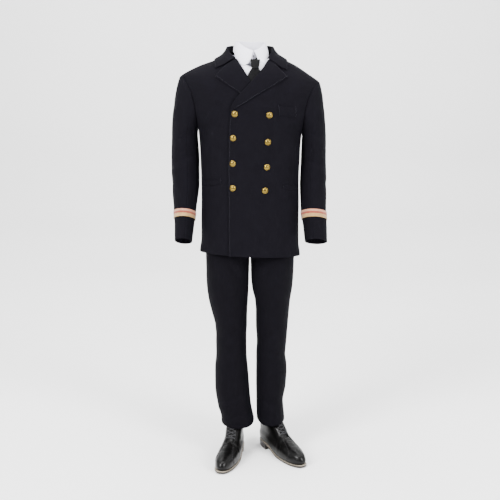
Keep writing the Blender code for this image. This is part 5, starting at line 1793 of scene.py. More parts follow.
NECK_X_CENTRE = 0.001
NECK_Y_CENTRE = 0.000
COLLAR_OPENING = 13.0
NECK_RINGS = Table(
    "angle width depth foot fold edge",
    (0, 0.0500, 0.0660, 1.5040, 1.5560, 1.5110),
    (15, 0.0504, 0.0656, 1.5110, 1.5610, 1.5070),
    (35, 0.0510, 0.0650, 1.5230, 1.5700, 1.5035),
    (50, 0.0513, 0.0645, 1.5305, 1.5790, 1.5145),
    (60, 0.0515, 0.0640, 1.5360, 1.5850, 1.5275),
    (75, 0.0518, 0.0630, 1.5420, 1.5900, 1.5480),
    (90, 0.0520, 0.0620, 1.5470, 1.5940, 1.5550),
    (135, 0.0520, 0.0590, 1.5500, 1.5980, 1.5620),
    (180, 0.0520, 0.0580, 1.5456, 1.5990, 1.5610),
)


def neck_point(angle, out, height):
    """A point round the neck, at an angle from the collar's opening in degrees."""
    turn = math.radians(angle + COLLAR_OPENING)
    x = NECK_X_CENTRE + (NECK_RINGS.at(abs(angle), "width") + out) * math.sin(turn)
    y = NECK_Y_CENTRE - (NECK_RINGS.at(abs(angle), "depth") + out) * math.cos(turn)
    return Vector((x, y, height))


def from_opening(count):
    """Angles from the collar's opening, round the back of the neck and on to the opening again."""
    return [-(180 + angle) if angle < 0 else 180 - angle for angle in spread(count, -177.0, 177.0)]


def make_shirt_collar():
    stand = []
    band = []
    fall = []
    for spot in from_opening(48):
        foot = NECK_RINGS.at(abs(spot), "foot")
        fold = NECK_RINGS.at(abs(spot), "fold")
        stand.append([neck_point(spot, 0.0, blend(foot, fold, share)) for share in spread(5, 0.0, 0.96)])
        round_side = float(soft_step(abs(spot), 0.0, 45.0))
        low, high = blend(0.10, 0.35, round_side), blend(0.38, 0.70, round_side)
        lift = TIE_CLOTH + 0.0005
        band.append([neck_point(spot, lift, blend(foot, fold, share)) for share in spread(3, low, high)])
    ends = [3.0, 3.8, 5.0, 6.6, 8.6, 11.0, 13.8, 17.0, 20.5, 24.3, 28.4]
    round_neck = [spot for spot in from_opening(72) if abs(spot) > 31]
    for spot in [-end for end in ends] + round_neck + ends[::-1]:
        fold = NECK_RINGS.at(abs(spot), "fold")
        edge = NECK_RINGS.at(abs(spot), "edge")
        near_end = max(0.0, 1 - (abs(spot) - 3.0) / 24.0)
        depth = (fold - edge) * (0.30 + 0.70 * math.sqrt(1 - min(1.0, near_end) ** 2))
        depth *= 1 - 0.30 * float(soft_step(spot, 40.0, 58.0) * soft_step(spot, 115.0, 85.0))
        flare = 0.24 - 0.14 * float(soft_step(abs(spot), 95.0, 140.0))
        flare += 0.19 * max(0.0, math.cos(math.radians(spot)))
        flare += 0.07 * float(soft_step(spot, 15.0, 40.0) * soft_step(spot, 115.0, 85.0))
        base = TIE_CLOTH + SHIRT_CLOTH + 0.0003
        row = [neck_point(spot, base - 0.0024, fold - 0.0016), neck_point(spot, base - 0.0014, fold + 0.0006)]
        for share in spread(8):
            slant = math.copysign(5.0 * near_end * share, spot)
            crown = 0.0016 * math.sin(math.pi * share)
            row.append(neck_point(spot + slant, base + depth * share * flare + crown, fold - depth * share))
        fall.append(row)
    over_collar = ("tie_band", "shirt_front_right", "shirt_front_left", "shirt_back")
    for name, grid, thickness, material, slot, over, clear in (
        ("shirt_collar_stand", stand, SHIRT_CLOTH, SHIRT_COTTON, "shirt_cotton", (), 0.0),
        ("tie_band", band, TIE_CLOTH, TIE_SILK, "tie_silk", (), 0.0),
        ("shirt_collar", fall, SHIRT_CLOTH, SHIRT_COTTON, "shirt_cotton", over_collar, 0.0004),
    ):
        make_cloth(
            name,
            grid,
            FACING_BACK,
            thickness,
            material,
            pitch=0.0028,
            over=over,
            clear=clear,
            slot=slot,
            held="folded",
            settle=True,
        )


# The tie.

TIE_BLADE = Table(
    "height half_width lift",
    (1.1800, 0.0340, 0.0000),
    (1.3300, 0.0320, 0.0000),
    (1.4200, 0.0300, 0.0000),
    (1.4600, 0.0262, 0.0005),
    (1.4740, 0.0215, 0.0030),
    (1.4830, 0.0150, 0.0060),
    (1.4880, 0.0118, 0.0066),
)
TIE_KNOT = Table(
    "height half_width front back",
    (1.4892, 0.0120, -0.1125, -0.1015),
    (1.4915, 0.0132, -0.1140, -0.1035),
    (1.5050, 0.0152, -0.1105, -0.0980),
    (1.5160, 0.0168, -0.1060, -0.0915),
    (1.5226, 0.0180, -0.1010, -0.0840),
    (1.5243, 0.0170, -0.0980, -0.0835),
)
TIE_CENTRE = 0.0185


def make_tie():
    grid = []
    for height in spread(26, 1.180, 1.4872):
        half = TIE_BLADE.at(height, "half_width")
        middle = blend(0.004, TIE_CENTRE, float(soft_step(height, 1.36, 1.49)))
        lift = SHIRT_LAYER + TIE_CLOTH + EASE + TIE_BLADE.at(height, "lift")
        dimple = 0.0030 * math.exp(-(((height - 1.482) / 0.022) ** 2))
        row = []
        for share in spread(12, -1, 1):
            place = (*SHIRT.place(middle + half * share, height), FRONT)
            crown = 0.0018 * (1 - share**2) - dimple * math.exp(-((share / 0.3) ** 2))
            row.append(SHIRT.point(*place) + SHIRT.normal(*place) * (lift + crown))
        grid.append(row)
    make_cloth(
        "tie_blade",
        grid,
        FACING_FRONT,
        TIE_CLOTH,
        TIE_SILK,
        pitch=0.0032,
        over=("shirt_front_left", "shirt_front_right"),
        clear=0.0003,
        slot="tie_silk",
        held="hung",
        settle=True,
    )
    knot = []
    for height in spread(12, 1.4892, 1.5243):
        half = TIE_KNOT.at(height, "half_width")
        front = TIE_KNOT.at(height, "front")
        back = TIE_KNOT.at(height, "back")
        rise = (height - 1.4892) / 0.0351
        row = []
        for angle in spread(28, 0, 2 * HALF_TURN)[:-1]:
            across = signed_power(math.cos(angle), 0.85)
            # The last wrap crosses the knot's face on a slant, and its edge makes a low step.
            wrap = 0.0011 * float(soft_step(across * 0.6 - (rise - 0.45), -0.06, 0.06))
            deep = (back - front) / 2 + (wrap if math.sin(angle) > 0 else 0.0)
            x = TIE_CENTRE + (half + wrap * 0.4) * across
            y = (front + back) / 2 - deep * signed_power(math.sin(angle), 0.85)
            row.append(Vector((x, y, height)))
        knot.append(row)
    make_cloth(
        "tie_knot",
        knot,
        FACING_FRONT if math.sin(spread(28, 0, 2 * HALF_TURN)[14]) > 0 else (-1.0, 0.0, 0.0),
        TIE_CLOTH,
        TIE_SILK,
        pitch=0.0018,
        ring=True,
        slot="tie_silk",
        held="folded",
        settle=True,
    )


# The trousers.

TROUSER_WAIST = 0.9975
BAND_TOP = 1.0350


def trouser_hem(across, way):
    """The hem rests lower on the boot in front, and rises towards the inner seam."""
    rise = 0.010 * max(0.0, 1 - across / 0.35) ** 2
    return 0.1290 + rise - (0.009 if way == FRONT else 0.002) * math.sin(math.pi * across)


def make_trousers():
    legs = Legs()
    for side in (RIGHT, LEFT):
        for way in (FRONT, BACK):
            places = []
            for up in spread(46):
                across = spread(20, 0.0004, 0.9996)
                row = [(side, s, blend(trouser_hem(s, way), TROUSER_WAIST, up), way) for s in across]
                places.append(row)
            make_cloth(
                f"trouser_{'front' if way == FRONT else 'back'}_{SIDE_NAMES[side]}",
                raised(legs, places),
                FACING_FRONT if way == FRONT else FACING_BACK,
                TROUSER_CLOTH,
                TROUSER_WOOL,
                relief=trouser_relief,
                fade=("top",),
                slot="trouser_wool",
            )
    band = []
    for height in spread(6, TROUSER_WAIST + 0.0001, BAND_TOP):
        row = []
        for side, way, order in ((LEFT, FRONT, 1), (LEFT, BACK, -1), (RIGHT, BACK, 1), (RIGHT, FRONT, -1)):
            row += [(side, share, height, way) for share in spread(10)[::order][:-1]]
        band.append(row)
    make_cloth(
        "waistband",
        raised(legs, band),
        legs.normal(*band[3][20]),
        TROUSER_CLOTH,
        TROUSER_WOOL,
        ring=True,
        slot="trouser_wool",
        held="folded",
    )
    fly = []
    for height in spread(12, 0.860, TROUSER_WAIST - 0.001):
        fly.append([(LEFT, share, height, FRONT) for share in spread(5, 0.012, 0.17)])
    make_cloth(
        "fly",
        raised(legs, fly, TROUSER_CLOTH + 0.0002),
        FACING_FRONT,
        TROUSER_CLOTH,
        TROUSER_WOOL,
        over=("trouser_front_left",),
        clear=0.0001,
        slot="trouser_wool",
        held="folded",
    )


# The boots.

VAMP_EDGE = Table(
    "share degrees",
    (0.00, 62.0),
    (0.25, 50.0),
    (0.50, 34.0),
    (0.66, 22.0),
    (1.00, 15.0),
)
VAMP_TOP = 0.64
SOLE_THICKNESS = 0.0073
SOLE_DROP = 0.0012
WELT_THICKNESS = 0.0017


def boot_relief(boot):
    """Flex creases across the vamp, a toe cap's edge and slight hollows at the ankle."""

    def relief(points):
        from_heel = points - np.array(boot.heel)
        along = from_heel @ np.array(boot.forward)
        out = from_heel @ np.array(boot.outward)
        fore = soft_step(along, 0.13, 0.28)
        along = along - FOREFOOT * fore
        out = out - boot.swing * fore
        height = points[..., 2]
        total = np.zeros_like(along)
        above_sole = soft_step(height, 0.018, 0.034)
        for place, lean, rise, width in FLEX_CREASES:
            total -= rise * np.exp(-(((along - place - lean * out) / width) ** 2)) * above_sole
        over_toe = soft_step(along, 0.2215, 0.2235)
        total += 0.0007 * over_toe
        ankle = np.exp(-(((height - 0.082) / 0.014) ** 2)) * np.exp(-(((along - 0.055) / 0.030) ** 2))
        total -= 0.0016 * ankle
        return total

    return relief


# Each crease over the ball of the foot: how far along, its slant, depth and width.
FLEX_CREASES = (
    (0.186, 0.20, 0.0013, 0.0028),
    (0.178, -0.15, 0.0010, 0.0024),
    (0.196, 0.05, 0.0009, 0.0026),
    (0.168, 0.30, 0.0008, 0.0024),
)


def make_boots():
    for side in (RIGHT, LEFT):
        boot = BOOTS[side]
        end = SIDE_NAMES[side]
        vamp = []
        for share in spread(16, 0.0, VAMP_TOP):
            limit = math.radians(VAMP_EDGE.at(share, "degrees")) + 0.030
            vamp.append([(angle, share) for angle in spread(24, -limit, limit)])
        make_cloth(
            f"boot_vamp_{end}",
            raised(boot, vamp),
            (0.0, -0.4, 0.9),
            BOOT_LEATHER,
            BOOT_CALF,
            pitch=0.0030,
            relief=boot_relief(boot),
            slot="boot_leather",
            held=None,
        )
        quarters = []
        for share in spread(24):
            limit = math.radians(VAMP_EDGE.at(share, "degrees")) - 0.004
            quarters.append([(angle, share) for angle in spread(40, limit, 2 * HALF_TURN - limit)])
        lifts = lambda spot: 0.0012
        make_cloth(
            f"boot_quarters_{end}",
            raised(boot, quarters, lifts),
            boot.normal(*quarters[12][20]),
            BOOT_LEATHER * 0.9,
            BOOT_CALF,
            pitch=0.0034,
            relief=boot_relief(boot),
            slot="boot_leather",
            held=None,
        )
        tongue = []
        for share in spread(10, VAMP_TOP - 0.03, 0.99):
            tongue.append([(angle, share) for angle in spread(10, -0.50, 0.50)])
        make_cloth(
            f"boot_tongue_{end}",
            raised(boot, tongue, -BOOT_LEATHER - 0.0010),
            (0.0, -0.9, 0.3),
            BOOT_LEATHER * 0.7,
            BOOT_CALF,
            pitch=0.004,
            slot="boot_leather",
            held=None,
        )
        make_sole(boot, end)


# Places along the sole from the heel's back, closest where its outline turns.
SOLE_STATIONS = (0.0, 0.002, 0.006, 0.012, 0.020, 0.032, 0.045, 0.060, 0.074)
SOLE_STATIONS += (0.090, 0.110, 0.130, 0.150, 0.170, 0.190, 0.210, 0.230)
SOLE_STATIONS += (0.248, 0.262, 0.272, 0.280, 0.286, 0.2895, 0.2905)

# The sole's plates start this far behind the boot's own heel point.
SOLE_SETBACK = 0.001


def sole_half_width(along):
    margin = 0.0045
    middle = (0.2830 + 0.0040) / 2
    half = (0.2830 - 0.0040) / 2 + margin
    reach = max(0.0, 1 - abs((along - margin - middle + 0.001) / half) ** (1 / 0.43))
    return 0.0430 * Boot.outline.at(along, "width") * reach**0.43 + margin * 0.9


def closed_mesh(name, points, faces):
    """A closed smooth mesh of points given above the floor, its normals turned outward."""
    mesh = bpy.data.meshes.new(name)
    mesh.from_pydata([(p.x, p.y, p.z - HOLD_HEIGHT) for p in points], [], faces)
    shape = bmesh.new()
    shape.from_mesh(mesh)
    bmesh.ops.recalc_face_normals(shape, faces=shape.faces)
    shape.to_mesh(mesh)
    shape.free()
    mesh.shade_smooth()
    return mesh


def plate(name, boot, layers, material, node, slot):
    """A plate of leather in layers from the top down: each is (margin, stations, height function)."""
    points = []
    faces = []
    loops = []
    for margin, stations, height in layers:
        loop = []
        for way, ordered in ((1, stations), (-1, stations[::-1])):
            for along in ordered:
                half_width = sole_half_width(along) + margin
                loop.append(boot.local(along - SOLE_SETBACK, way * half_width, height(along)))
        loops.append(range(len(points), len(points) + len(loop)))
        points += loop
    count = len(loops[0])
    for upper, lower in zip(loops, loops[1:]):
        for i in range(count):
            j = (i + 1) % count
            faces.append((upper[i], upper[j], lower[j], lower[i]))
    half = count // 2
    for loop in (loops[0], loops[-1]):
        for i in range(half - 1):
            faces.append((loop[i], loop[i + 1], loop[count - 2 - i], loop[count - 1 - i]))
    mesh = closed_mesh(name, points, faces)
    mesh.set_sharp_from_angle(angle=math.radians(40))
    return declare(put_in_scene(name, mesh, material), (node,) if node else (), slot)


def make_sole(boot, end):
    """A pale welt on top of the dark sole, and a heel of stacked lifts with a top piece."""
    top = lambda along: Boot.bed.at(along, "height") - SOLE_DROP
    down = lambda drop: (lambda along: top(along) - drop)
    welt = [(-0.0012, SOLE_STATIONS, top), (0.0, SOLE_STATIONS, down(0.0006))]
    welt += [(0.0003, SOLE_STATIONS, down(0.0011)), (-0.0004, SOLE_STATIONS, down(WELT_THICKNESS))]
    plate(f"boot_welt_{end}", boot, welt, WELT_EDGE, None, "sole_leather")
    sole = [(-0.0008, SOLE_STATIONS, down(WELT_THICKNESS + 0.0001)), (0.0, SOLE_STATIONS, down(0.0034))]
    sole += [(0.0004, SOLE_STATIONS, down(0.0055)), (-0.0006, SOLE_STATIONS, down(SOLE_THICKNESS))]
    plate(f"boot_sole_{end}", boot, sole, SOLE_EDGE, f"boot_sole_{end}", "sole_leather")
    lifts = [along for along in SOLE_STATIONS if along <= 0.074]
    base = lambda along: top(along) - SOLE_THICKNESS - 0.0003
    level = lambda share: (lambda along: base(along) * (1 - share))
    heel = []
    for share in spread(10):
        groove = -0.0005 if round(share * 10) % 2 else 0.0
        heel.append((-0.0004 - 0.0016 * share + groove, lifts, level(share)))
    plate(f"boot_heel_{end}", boot, heel, SOLE_EDGE, f"boot_heel_{end}", "sole_leather")


make_coat_fronts()
make_coat_backs()
make_coat_collar()
make_coat_sleeves()
make_cuff_lace()
make_pockets()
make_shirt()
make_shirt_collar()
make_tie()
make_trousers()
make_boots()


# What repeats: buttons, stitches, eyelets and laces.


def start_tree(name, inputs):
    """A geometry tree with its named inputs, given as (name, kind, default)."""
    tree = bpy.data.node_groups.new(name, "GeometryNodeTree")
    tree.interface.new_socket("Geometry", in_out="INPUT", socket_type="NodeSocketGeometry")
    for label, kind, default in inputs:
        socket = tree.interface.new_socket(label, in_out="INPUT", socket_type=kind)
        if default is not None:
            socket.default_value = default
    tree.interface.new_socket("Geometry", in_out="OUTPUT", socket_type="NodeSocketGeometry")
    return tree, tree.nodes.new("NodeGroupInput"), tree.nodes.new("NodeGroupOutput")


def grown(name, source, tree, values, replaces, slot):
    """A plain mesh grown by a tree over a source mesh."""
    seed = bpy.data.objects.new(name + "_seed", source)
    bpy.context.scene.collection.objects.link(seed)
    modifier = seed.modifiers.new("grow", "NODES")
    modifier.node_group = tree
    for socket in tree.interface.items_tree:
        if socket.in_out == "INPUT" and socket.name in values:
            modifier[socket.identifier] = values[socket.name]
    bpy.context.view_layer.update()
    graph = bpy.context.evaluated_depsgraph_get()
    mesh = bpy.data.meshes.new_from_object(seed.evaluated_get(graph))
    mesh.name = name
    bpy.data.objects.remove(seed)
    piece = bpy.data.objects.new(name, mesh)
    bpy.context.scene.collection.objects.link(piece)
    return declare(piece, replaces, slot)


def math_node(tree, operation, first, second=None):
    """The result of one sum on values or sockets."""
    links = {"in_0": first} if second is None else {"in_0": first, "in_1": second}
    return add(tree, "ShaderNodeMath", {"operation": operation}, **links).outputs[0]


def copies_on_points(tree, given, result, thing):
    """Copies of a thing on the source's points, each turned to face its way, real and in its metal."""
    facing = add(tree, "GeometryNodeInputNamedAttribute", {"data_type": "FLOAT_VECTOR"}, in_Name="facing")
    turn_to = add(tree, "FunctionNodeAlignRotationToVector", {"axis": "Z"}, in_Vector=facing.outputs[0])
    copies = add(
        tree,
        "GeometryNodeInstanceOnPoints",
        in_Points=given.outputs["Geometry"],
        in_Instance=thing,
        in_Rotation=turn_to.outputs[0],
    )
    real = add(tree, "GeometryNodeRealizeInstances", in_Geometry=copies.outputs[0])
    metal = add(
        tree, "GeometryNodeSetMaterial", in_Geometry=real.outputs[0], in_Material=given.outputs["Metal"]
    )
    tree.links.new(metal.outputs[0], result.inputs[0])


def button_tree():
    """A turned button on every point of the source, facing along the point's normal attribute."""
    inputs = (
        ("Radius", "NodeSocketFloat", 0.0115),
        ("Rise", "NodeSocketFloat", 0.0080),
        ("Turns", "NodeSocketInt", 32),
        ("Metal", "NodeSocketMaterial", None),
    )
    tree, given, result = start_tree("gilt_button", inputs)
    profile = add(tree, "GeometryNodeCurvePrimitiveLine", in_Start=(0, 0, 0), in_End=(0, 0, 1))
    fine = add(tree, "GeometryNodeResampleCurve", in_Curve=profile.outputs[0], in_Count=len(BUTTON_PROFILE))
    index = add(tree, "GeometryNodeInputIndex")
    radius = None
    height = None
    for i, (out, up) in enumerate(BUTTON_PROFILE):
        here = add(
            tree,
            "FunctionNodeCompare",
            {"data_type": "INT", "operation": "EQUAL"},
            in_2=index.outputs[0],
            in_3=i,
        )
        for number, value in ((0, out), (1, up)):
            part = add(tree, "ShaderNodeMath", {"operation": "MULTIPLY"}, in_0=here.outputs[0], in_1=value)
            before = radius if number == 0 else height
            if before is not None:
                part = add(tree, "ShaderNodeMath", {"operation": "ADD"}, in_0=before, in_1=part.outputs[0])
            if number == 0:
                radius = part.outputs[0]
            else:
                height = part.outputs[0]
    wide = add(tree, "ShaderNodeMath", {"operation": "MULTIPLY"}, in_0=radius, in_1=given.outputs["Radius"])
    high = add(tree, "ShaderNodeMath", {"operation": "MULTIPLY"}, in_0=height, in_1=given.outputs["Rise"])
    spots = add(tree, "ShaderNodeCombineXYZ", in_X=wide.outputs[0], in_Z=high.outputs[0])
    shaped = add(tree, "GeometryNodeSetPosition", in_Geometry=fine.outputs[0], in_Position=spots.outputs[0])
    # The profile is carried round in a ring of copies and skinned by rows: a grid bent into a turned body.
    grid = add(
        tree,
        "GeometryNodeMeshGrid",
        in_Size_X=1.0,
        in_Size_Y=1.0,
        in_Vertices_X=len(BUTTON_PROFILE),
        in_Vertices_Y=given.outputs["Turns"],
    )
    place = add(tree, "GeometryNodeInputPosition")
    apart = add(tree, "ShaderNodeSeparateXYZ", in_Vector=place.outputs[0])
    row = math_node(tree, "ADD", apart.outputs["X"], 0.5)
    number = math_node(tree, "MULTIPLY", row, len(BUTTON_PROFILE) - 1)
    spot = add(
        tree,
        "GeometryNodeSampleIndex",
        {"data_type": "FLOAT_VECTOR", "domain": "POINT"},
        in_Geometry=shaped.outputs[0],
        in_Value=add(tree, "GeometryNodeInputPosition").outputs[0],
        in_Index=math_node(tree, "ROUND", number),
    )
    parts = add(tree, "ShaderNodeSeparateXYZ", in_Vector=spot.outputs[0])
    turn = math_node(tree, "MULTIPLY", apart.outputs["Y"], 2 * math.pi)
    x = math_node(tree, "MULTIPLY", parts.outputs["X"], math_node(tree, "COSINE", turn))
    y = math_node(tree, "MULTIPLY", parts.outputs["X"], math_node(tree, "SINE", turn))
    round_spot = add(tree, "ShaderNodeCombineXYZ", in_X=x, in_Y=y, in_Z=parts.outputs["Z"])
    turned = add(
        tree, "GeometryNodeSetPosition", in_Geometry=grid.outputs["Mesh"], in_Position=round_spot.outputs[0]
    )
    closed = add(tree, "GeometryNodeMergeByDistance", in_Geometry=turned.outputs[0], in_Distance=0.00002)
    smooth = add(tree, "GeometryNodeSetShadeSmooth", in_Geometry=closed.outputs[0])
    copies_on_points(tree, given, result, smooth.outputs[0])
    return tree


# The button's section from its shank's foot out to the rim and over the dome, as shares of radius and rise.
BUTTON_PROFILE = (
    (0.00, 0.02),
    (0.30, 0.02),
    (0.34, 0.12),
    (0.80, 0.17),
    (0.94, 0.22),
    (1.00, 0.31),
    (0.985, 0.40),
    (0.93, 0.44),
    (0.895, 0.42),
    (0.87, 0.45),
    (0.78, 0.60),
    (0.64, 0.77),
    (0.46, 0.90),
    (0.24, 0.98),
    (0.00, 1.00),
)


def points_mesh(name, places):
    """Loose points with the way each one faces."""
    mesh = bpy.data.meshes.new(name)
    mesh.from_pydata([tuple(spot) for spot, _ in places], [], [])
    facing = mesh.attributes.new("facing", "FLOAT_VECTOR", "POINT")
    facing.data.foreach_set("vector", [value for _, way in places for value in way])
    return mesh


def stitch_tree():
    """Short plump stitches along every line of the source, a given spacing apart."""
    inputs = (
        ("Spacing", "NodeSocketFloat", 0.003),
        ("Length", "NodeSocketFloat", 0.0022),
        ("Thickness", "NodeSocketFloat", 0.0003),
        ("Thread", "NodeSocketMaterial", None),
    )
    tree, given, result = start_tree("stitches", inputs)
    line = add(tree, "GeometryNodeMeshToCurve", in_Mesh=given.outputs["Geometry"])
    even = add(
        tree,
        "GeometryNodeResampleCurve",
        {"mode": "LENGTH"},
        in_Curve=line.outputs[0],
        in_Length=given.outputs["Spacing"],
    )
    way = add(tree, "GeometryNodeInputTangent")
    kept = add(
        tree,
        "GeometryNodeCaptureAttribute",
        {"domain": "POINT"},
        in_Geometry=even.outputs[0],
    )
    kept.capture_items.new("VECTOR", "way")
    tree.links.new(way.outputs[0], kept.inputs[1])
    stitch = add(tree, "GeometryNodeMeshUVSphere", in_Segments=6, in_Rings=4, in_Radius=0.5)
    size = add(
        tree,
        "ShaderNodeCombineXYZ",
        in_X=given.outputs["Thickness"],
        in_Y=given.outputs["Thickness"],
        in_Z=given.outputs["Length"],
    )
    turn_to = add(tree, "FunctionNodeAlignRotationToVector", {"axis": "Z"}, in_Vector=kept.outputs[1])
    copies = add(
        tree,
        "GeometryNodeInstanceOnPoints",
        in_Points=kept.outputs[0],
        in_Instance=stitch.outputs[0],
        in_Rotation=turn_to.outputs[0],
        in_Scale=size.outputs[0],
    )
    real = add(tree, "GeometryNodeRealizeInstances", in_Geometry=copies.outputs[0])
    smooth = add(tree, "GeometryNodeSetShadeSmooth", in_Geometry=real.outputs[0])
    thread = add(
        tree, "GeometryNodeSetMaterial", in_Geometry=smooth.outputs[0], in_Material=given.outputs["Thread"]
    )
    tree.links.new(thread.outputs[0], result.inputs[0])
    return tree


def lines_mesh(name, lines):
    """Open lines of points as loose edges."""
    points = []
    edges = []
    for line in lines:
        start = len(points)
        points += [(p[0], p[1], p[2] - HOLD_HEIGHT) for p in line]
        edges += [(start + i, start + i + 1) for i in range(len(line) - 1)]
    mesh = bpy.data.meshes.new(name)
    mesh.from_pydata(points, edges, [])
    return mesh


def line_on(name, side, inset, lift, start=0.0, end=1.0):
    """A line on a made piece, parallel to one of its edges and a little inside it."""
    cloth = made[name]
    points = cloth.points + cloth.normals * (cloth.thickness / 2 + lift)
    if side in ("left", "right"):
        grid = np.swapaxes(points, 0, 1)
    else:
        grid = points
    if side in ("right", "top"):
        grid = grid[::-1]
    count = grid.shape[1]
    line = []
    for j in range(int(count * start), max(2, int(count * end))):
        column = grid[:, j]
        lengths = np.concatenate([[0.0], np.cumsum(np.linalg.norm(np.diff(column, axis=0), axis=1))])
        if lengths[-1] < inset * 2:
            continue
        line.append([float(np.interp(inset, lengths, column[:, axis])) for axis in range(3)])
    return line


BUTTON_PLACES = (
    ((-0.0555, 1.3256), (-0.0620, 1.2393), (-0.0640, 1.1462), (-0.0640, 1.0562)),
    ((0.0710, 1.3270), (0.0660, 1.2298), (0.0630, 1.1387), (0.0560, 1.0524)),
)


def make_buttons():
    places = []
    for column in BUTTON_PLACES:
        for x, height in column:
            turn, fall = COAT.place(x, height)
            start = COAT.point(turn, fall, FRONT)
            start = Vector((start.x, start.y - 0.01, start.z - float(drop(start.x, start.z))))
            near, direction, _, _ = made["jacket_front_left"].tree.find_nearest(start)
            spot = near + direction * 0.0002
            places.append(((spot.x, spot.y, spot.z - HOLD_HEIGHT), tuple(direction)))
    names = [f"button_{column}{row}" for column in "ab" for row in range(1, 5)]
    source = points_mesh("button_places", places)
    grown("jacket_buttons", source, button_tree(), {"Metal": BUTTON_GILT}, names, "button_gilt")


# How far inside the welt's edge its stitches run.
WELT_STITCH_INSET = 0.0022


def make_stitching():
    tree = stitch_tree()
    coat_lines = []
    for side in ("left", "right"):
        coat_lines.append(line_on(f"jacket_lapel_{side}", "right", 0.004, 0.00005))
        coat_lines.append(line_on(f"jacket_lapel_{side}", "top", 0.004, 0.00005, 0.45))
    coat_lines.append(line_on("jacket_front_left", "left", 0.005, 0.00005, 0.0, 0.66))
    coat_lines.append(line_on("jacket_collar", "right", 0.004, 0.00005))
    for name in POCKETS:
        coat_lines.append(line_on(name, "left", 0.0015, 0.00005))
        coat_lines.append(line_on(name, "right", 0.0015, 0.00005))
    source = lines_mesh("coat_lines", coat_lines)
    values = {"Thread": WOOL_THREAD, "Spacing": 0.0034, "Length": 0.0022, "Thickness": 0.0004}
    grown("jacket_stitching", source, tree, values, (), "coat_wool")
    shirt_lines = [line_on("shirt_collar", "right", 0.005, 0.00004)]
    source = lines_mesh("shirt_lines", shirt_lines)
    values = {"Thread": WHITE_THREAD, "Spacing": 0.0026, "Length": 0.0021, "Thickness": 0.0003}
    grown("shirt_stitching", source, tree, values, (), "shirt_cotton")
    boot_lines = []
    for side in ("left", "right"):
        for edge in ("left", "right"):
            for inset in (0.0028, 0.0052):
                boot_lines.append(line_on(f"boot_quarters_{side}", edge, inset, 0.00005))
        boot_lines.append(line_on(f"boot_quarters_{side}", "top", 0.003, 0.00005))
    source = lines_mesh("boot_lines", boot_lines)
    values = {"Thread": BOOT_LACE, "Spacing": 0.0024, "Length": 0.0019, "Thickness": 0.0004}
    grown("boot_stitching", source, tree, values, (), "boot_leather")
    welt_lines = []
    for side in (RIGHT, LEFT):
        boot = BOOTS[side]
        stations = [along for along in SOLE_STATIONS if along > 0.095]
        line = []
        for way in (1, -1):
            part = []
            for along in stations:
                height = Boot.bed.at(along, "height") - SOLE_DROP + 0.0002
                half_width = sole_half_width(along) - WELT_STITCH_INSET
                part.append(tuple(boot.local(along - SOLE_SETBACK - 0.0012, way * half_width, height)))
            line += part if way == 1 else part[::-1]
        welt_lines.append(line)
    source = lines_mesh("welt_lines", welt_lines)
    values = {"Thread": WELT_THREAD, "Spacing": 0.0032, "Length": 0.0025, "Thickness": 0.0007}
    grown("welt_stitching", source, tree, values, (), "sole_leather")


# Each boot's eyelets and lace, as how far up the facing each pair lies.
EYELET_SHARES = (0.685, 0.735, 0.785, 0.835, 0.890)

# The shown lace is a flattened cord: half its thickness, and how many times as wide as thick it is.
LACE_RADIUS = 0.0011
LACE_FLATNESS = 1.5


def facing_point(boot, share, way, lift):
    """A point on a facing, a little inside its front edge. way is 1 on the outer facing, -1 on the inner."""
    angle = math.radians(VAMP_EDGE.at(share, "degrees")) + 0.115
    place = (angle * way, share)
    return boot.point(*place) + boot.normal(*place) * (0.0012 + lift)


def tube(name, paths, radius, material, node_names, slot, flatness=1.0, sides=8):
    """Round or flattened cords along smooth paths, each closed at its ends."""
    points = []
    faces = []
    for path in paths:
        spots = np.linspace(0, len(path) - 1, len(path) * 5)
        line = curve_through(np.array([tuple(p) for p in path]), spots, False)
        tangents = np.gradient(line, axis=0)
        start = len(points)
        for p, t in zip(line, tangents):
            t = Vector(t).normalized()
            side = t.cross(Vector((0, 0, 1)))
            side = side.normalized() if side.length > 0.01 else Vector((1, 0, 0))
            up = side.cross(t).normalized()
            for i in range(sides):
                angle = 2 * math.pi * i / sides
                out = side * math.cos(angle) * radius * flatness
                points.append(Vector(p) + out + up * math.sin(angle) * radius)
        rings = len(line)
        for r in range(rings - 1):
            for i in range(sides):
                j = (i + 1) % sides
                a = start + r * sides
                faces.append((a + i, a + j, a + sides + j, a + sides + i))
        faces.append(tuple(start + i for i in reversed(range(sides))))
        faces.append(tuple(start + (rings - 1) * sides + i for i in range(sides)))
    mesh = closed_mesh(name, points, faces)
    return declare(put_in_scene(name, mesh, material), node_names, slot)


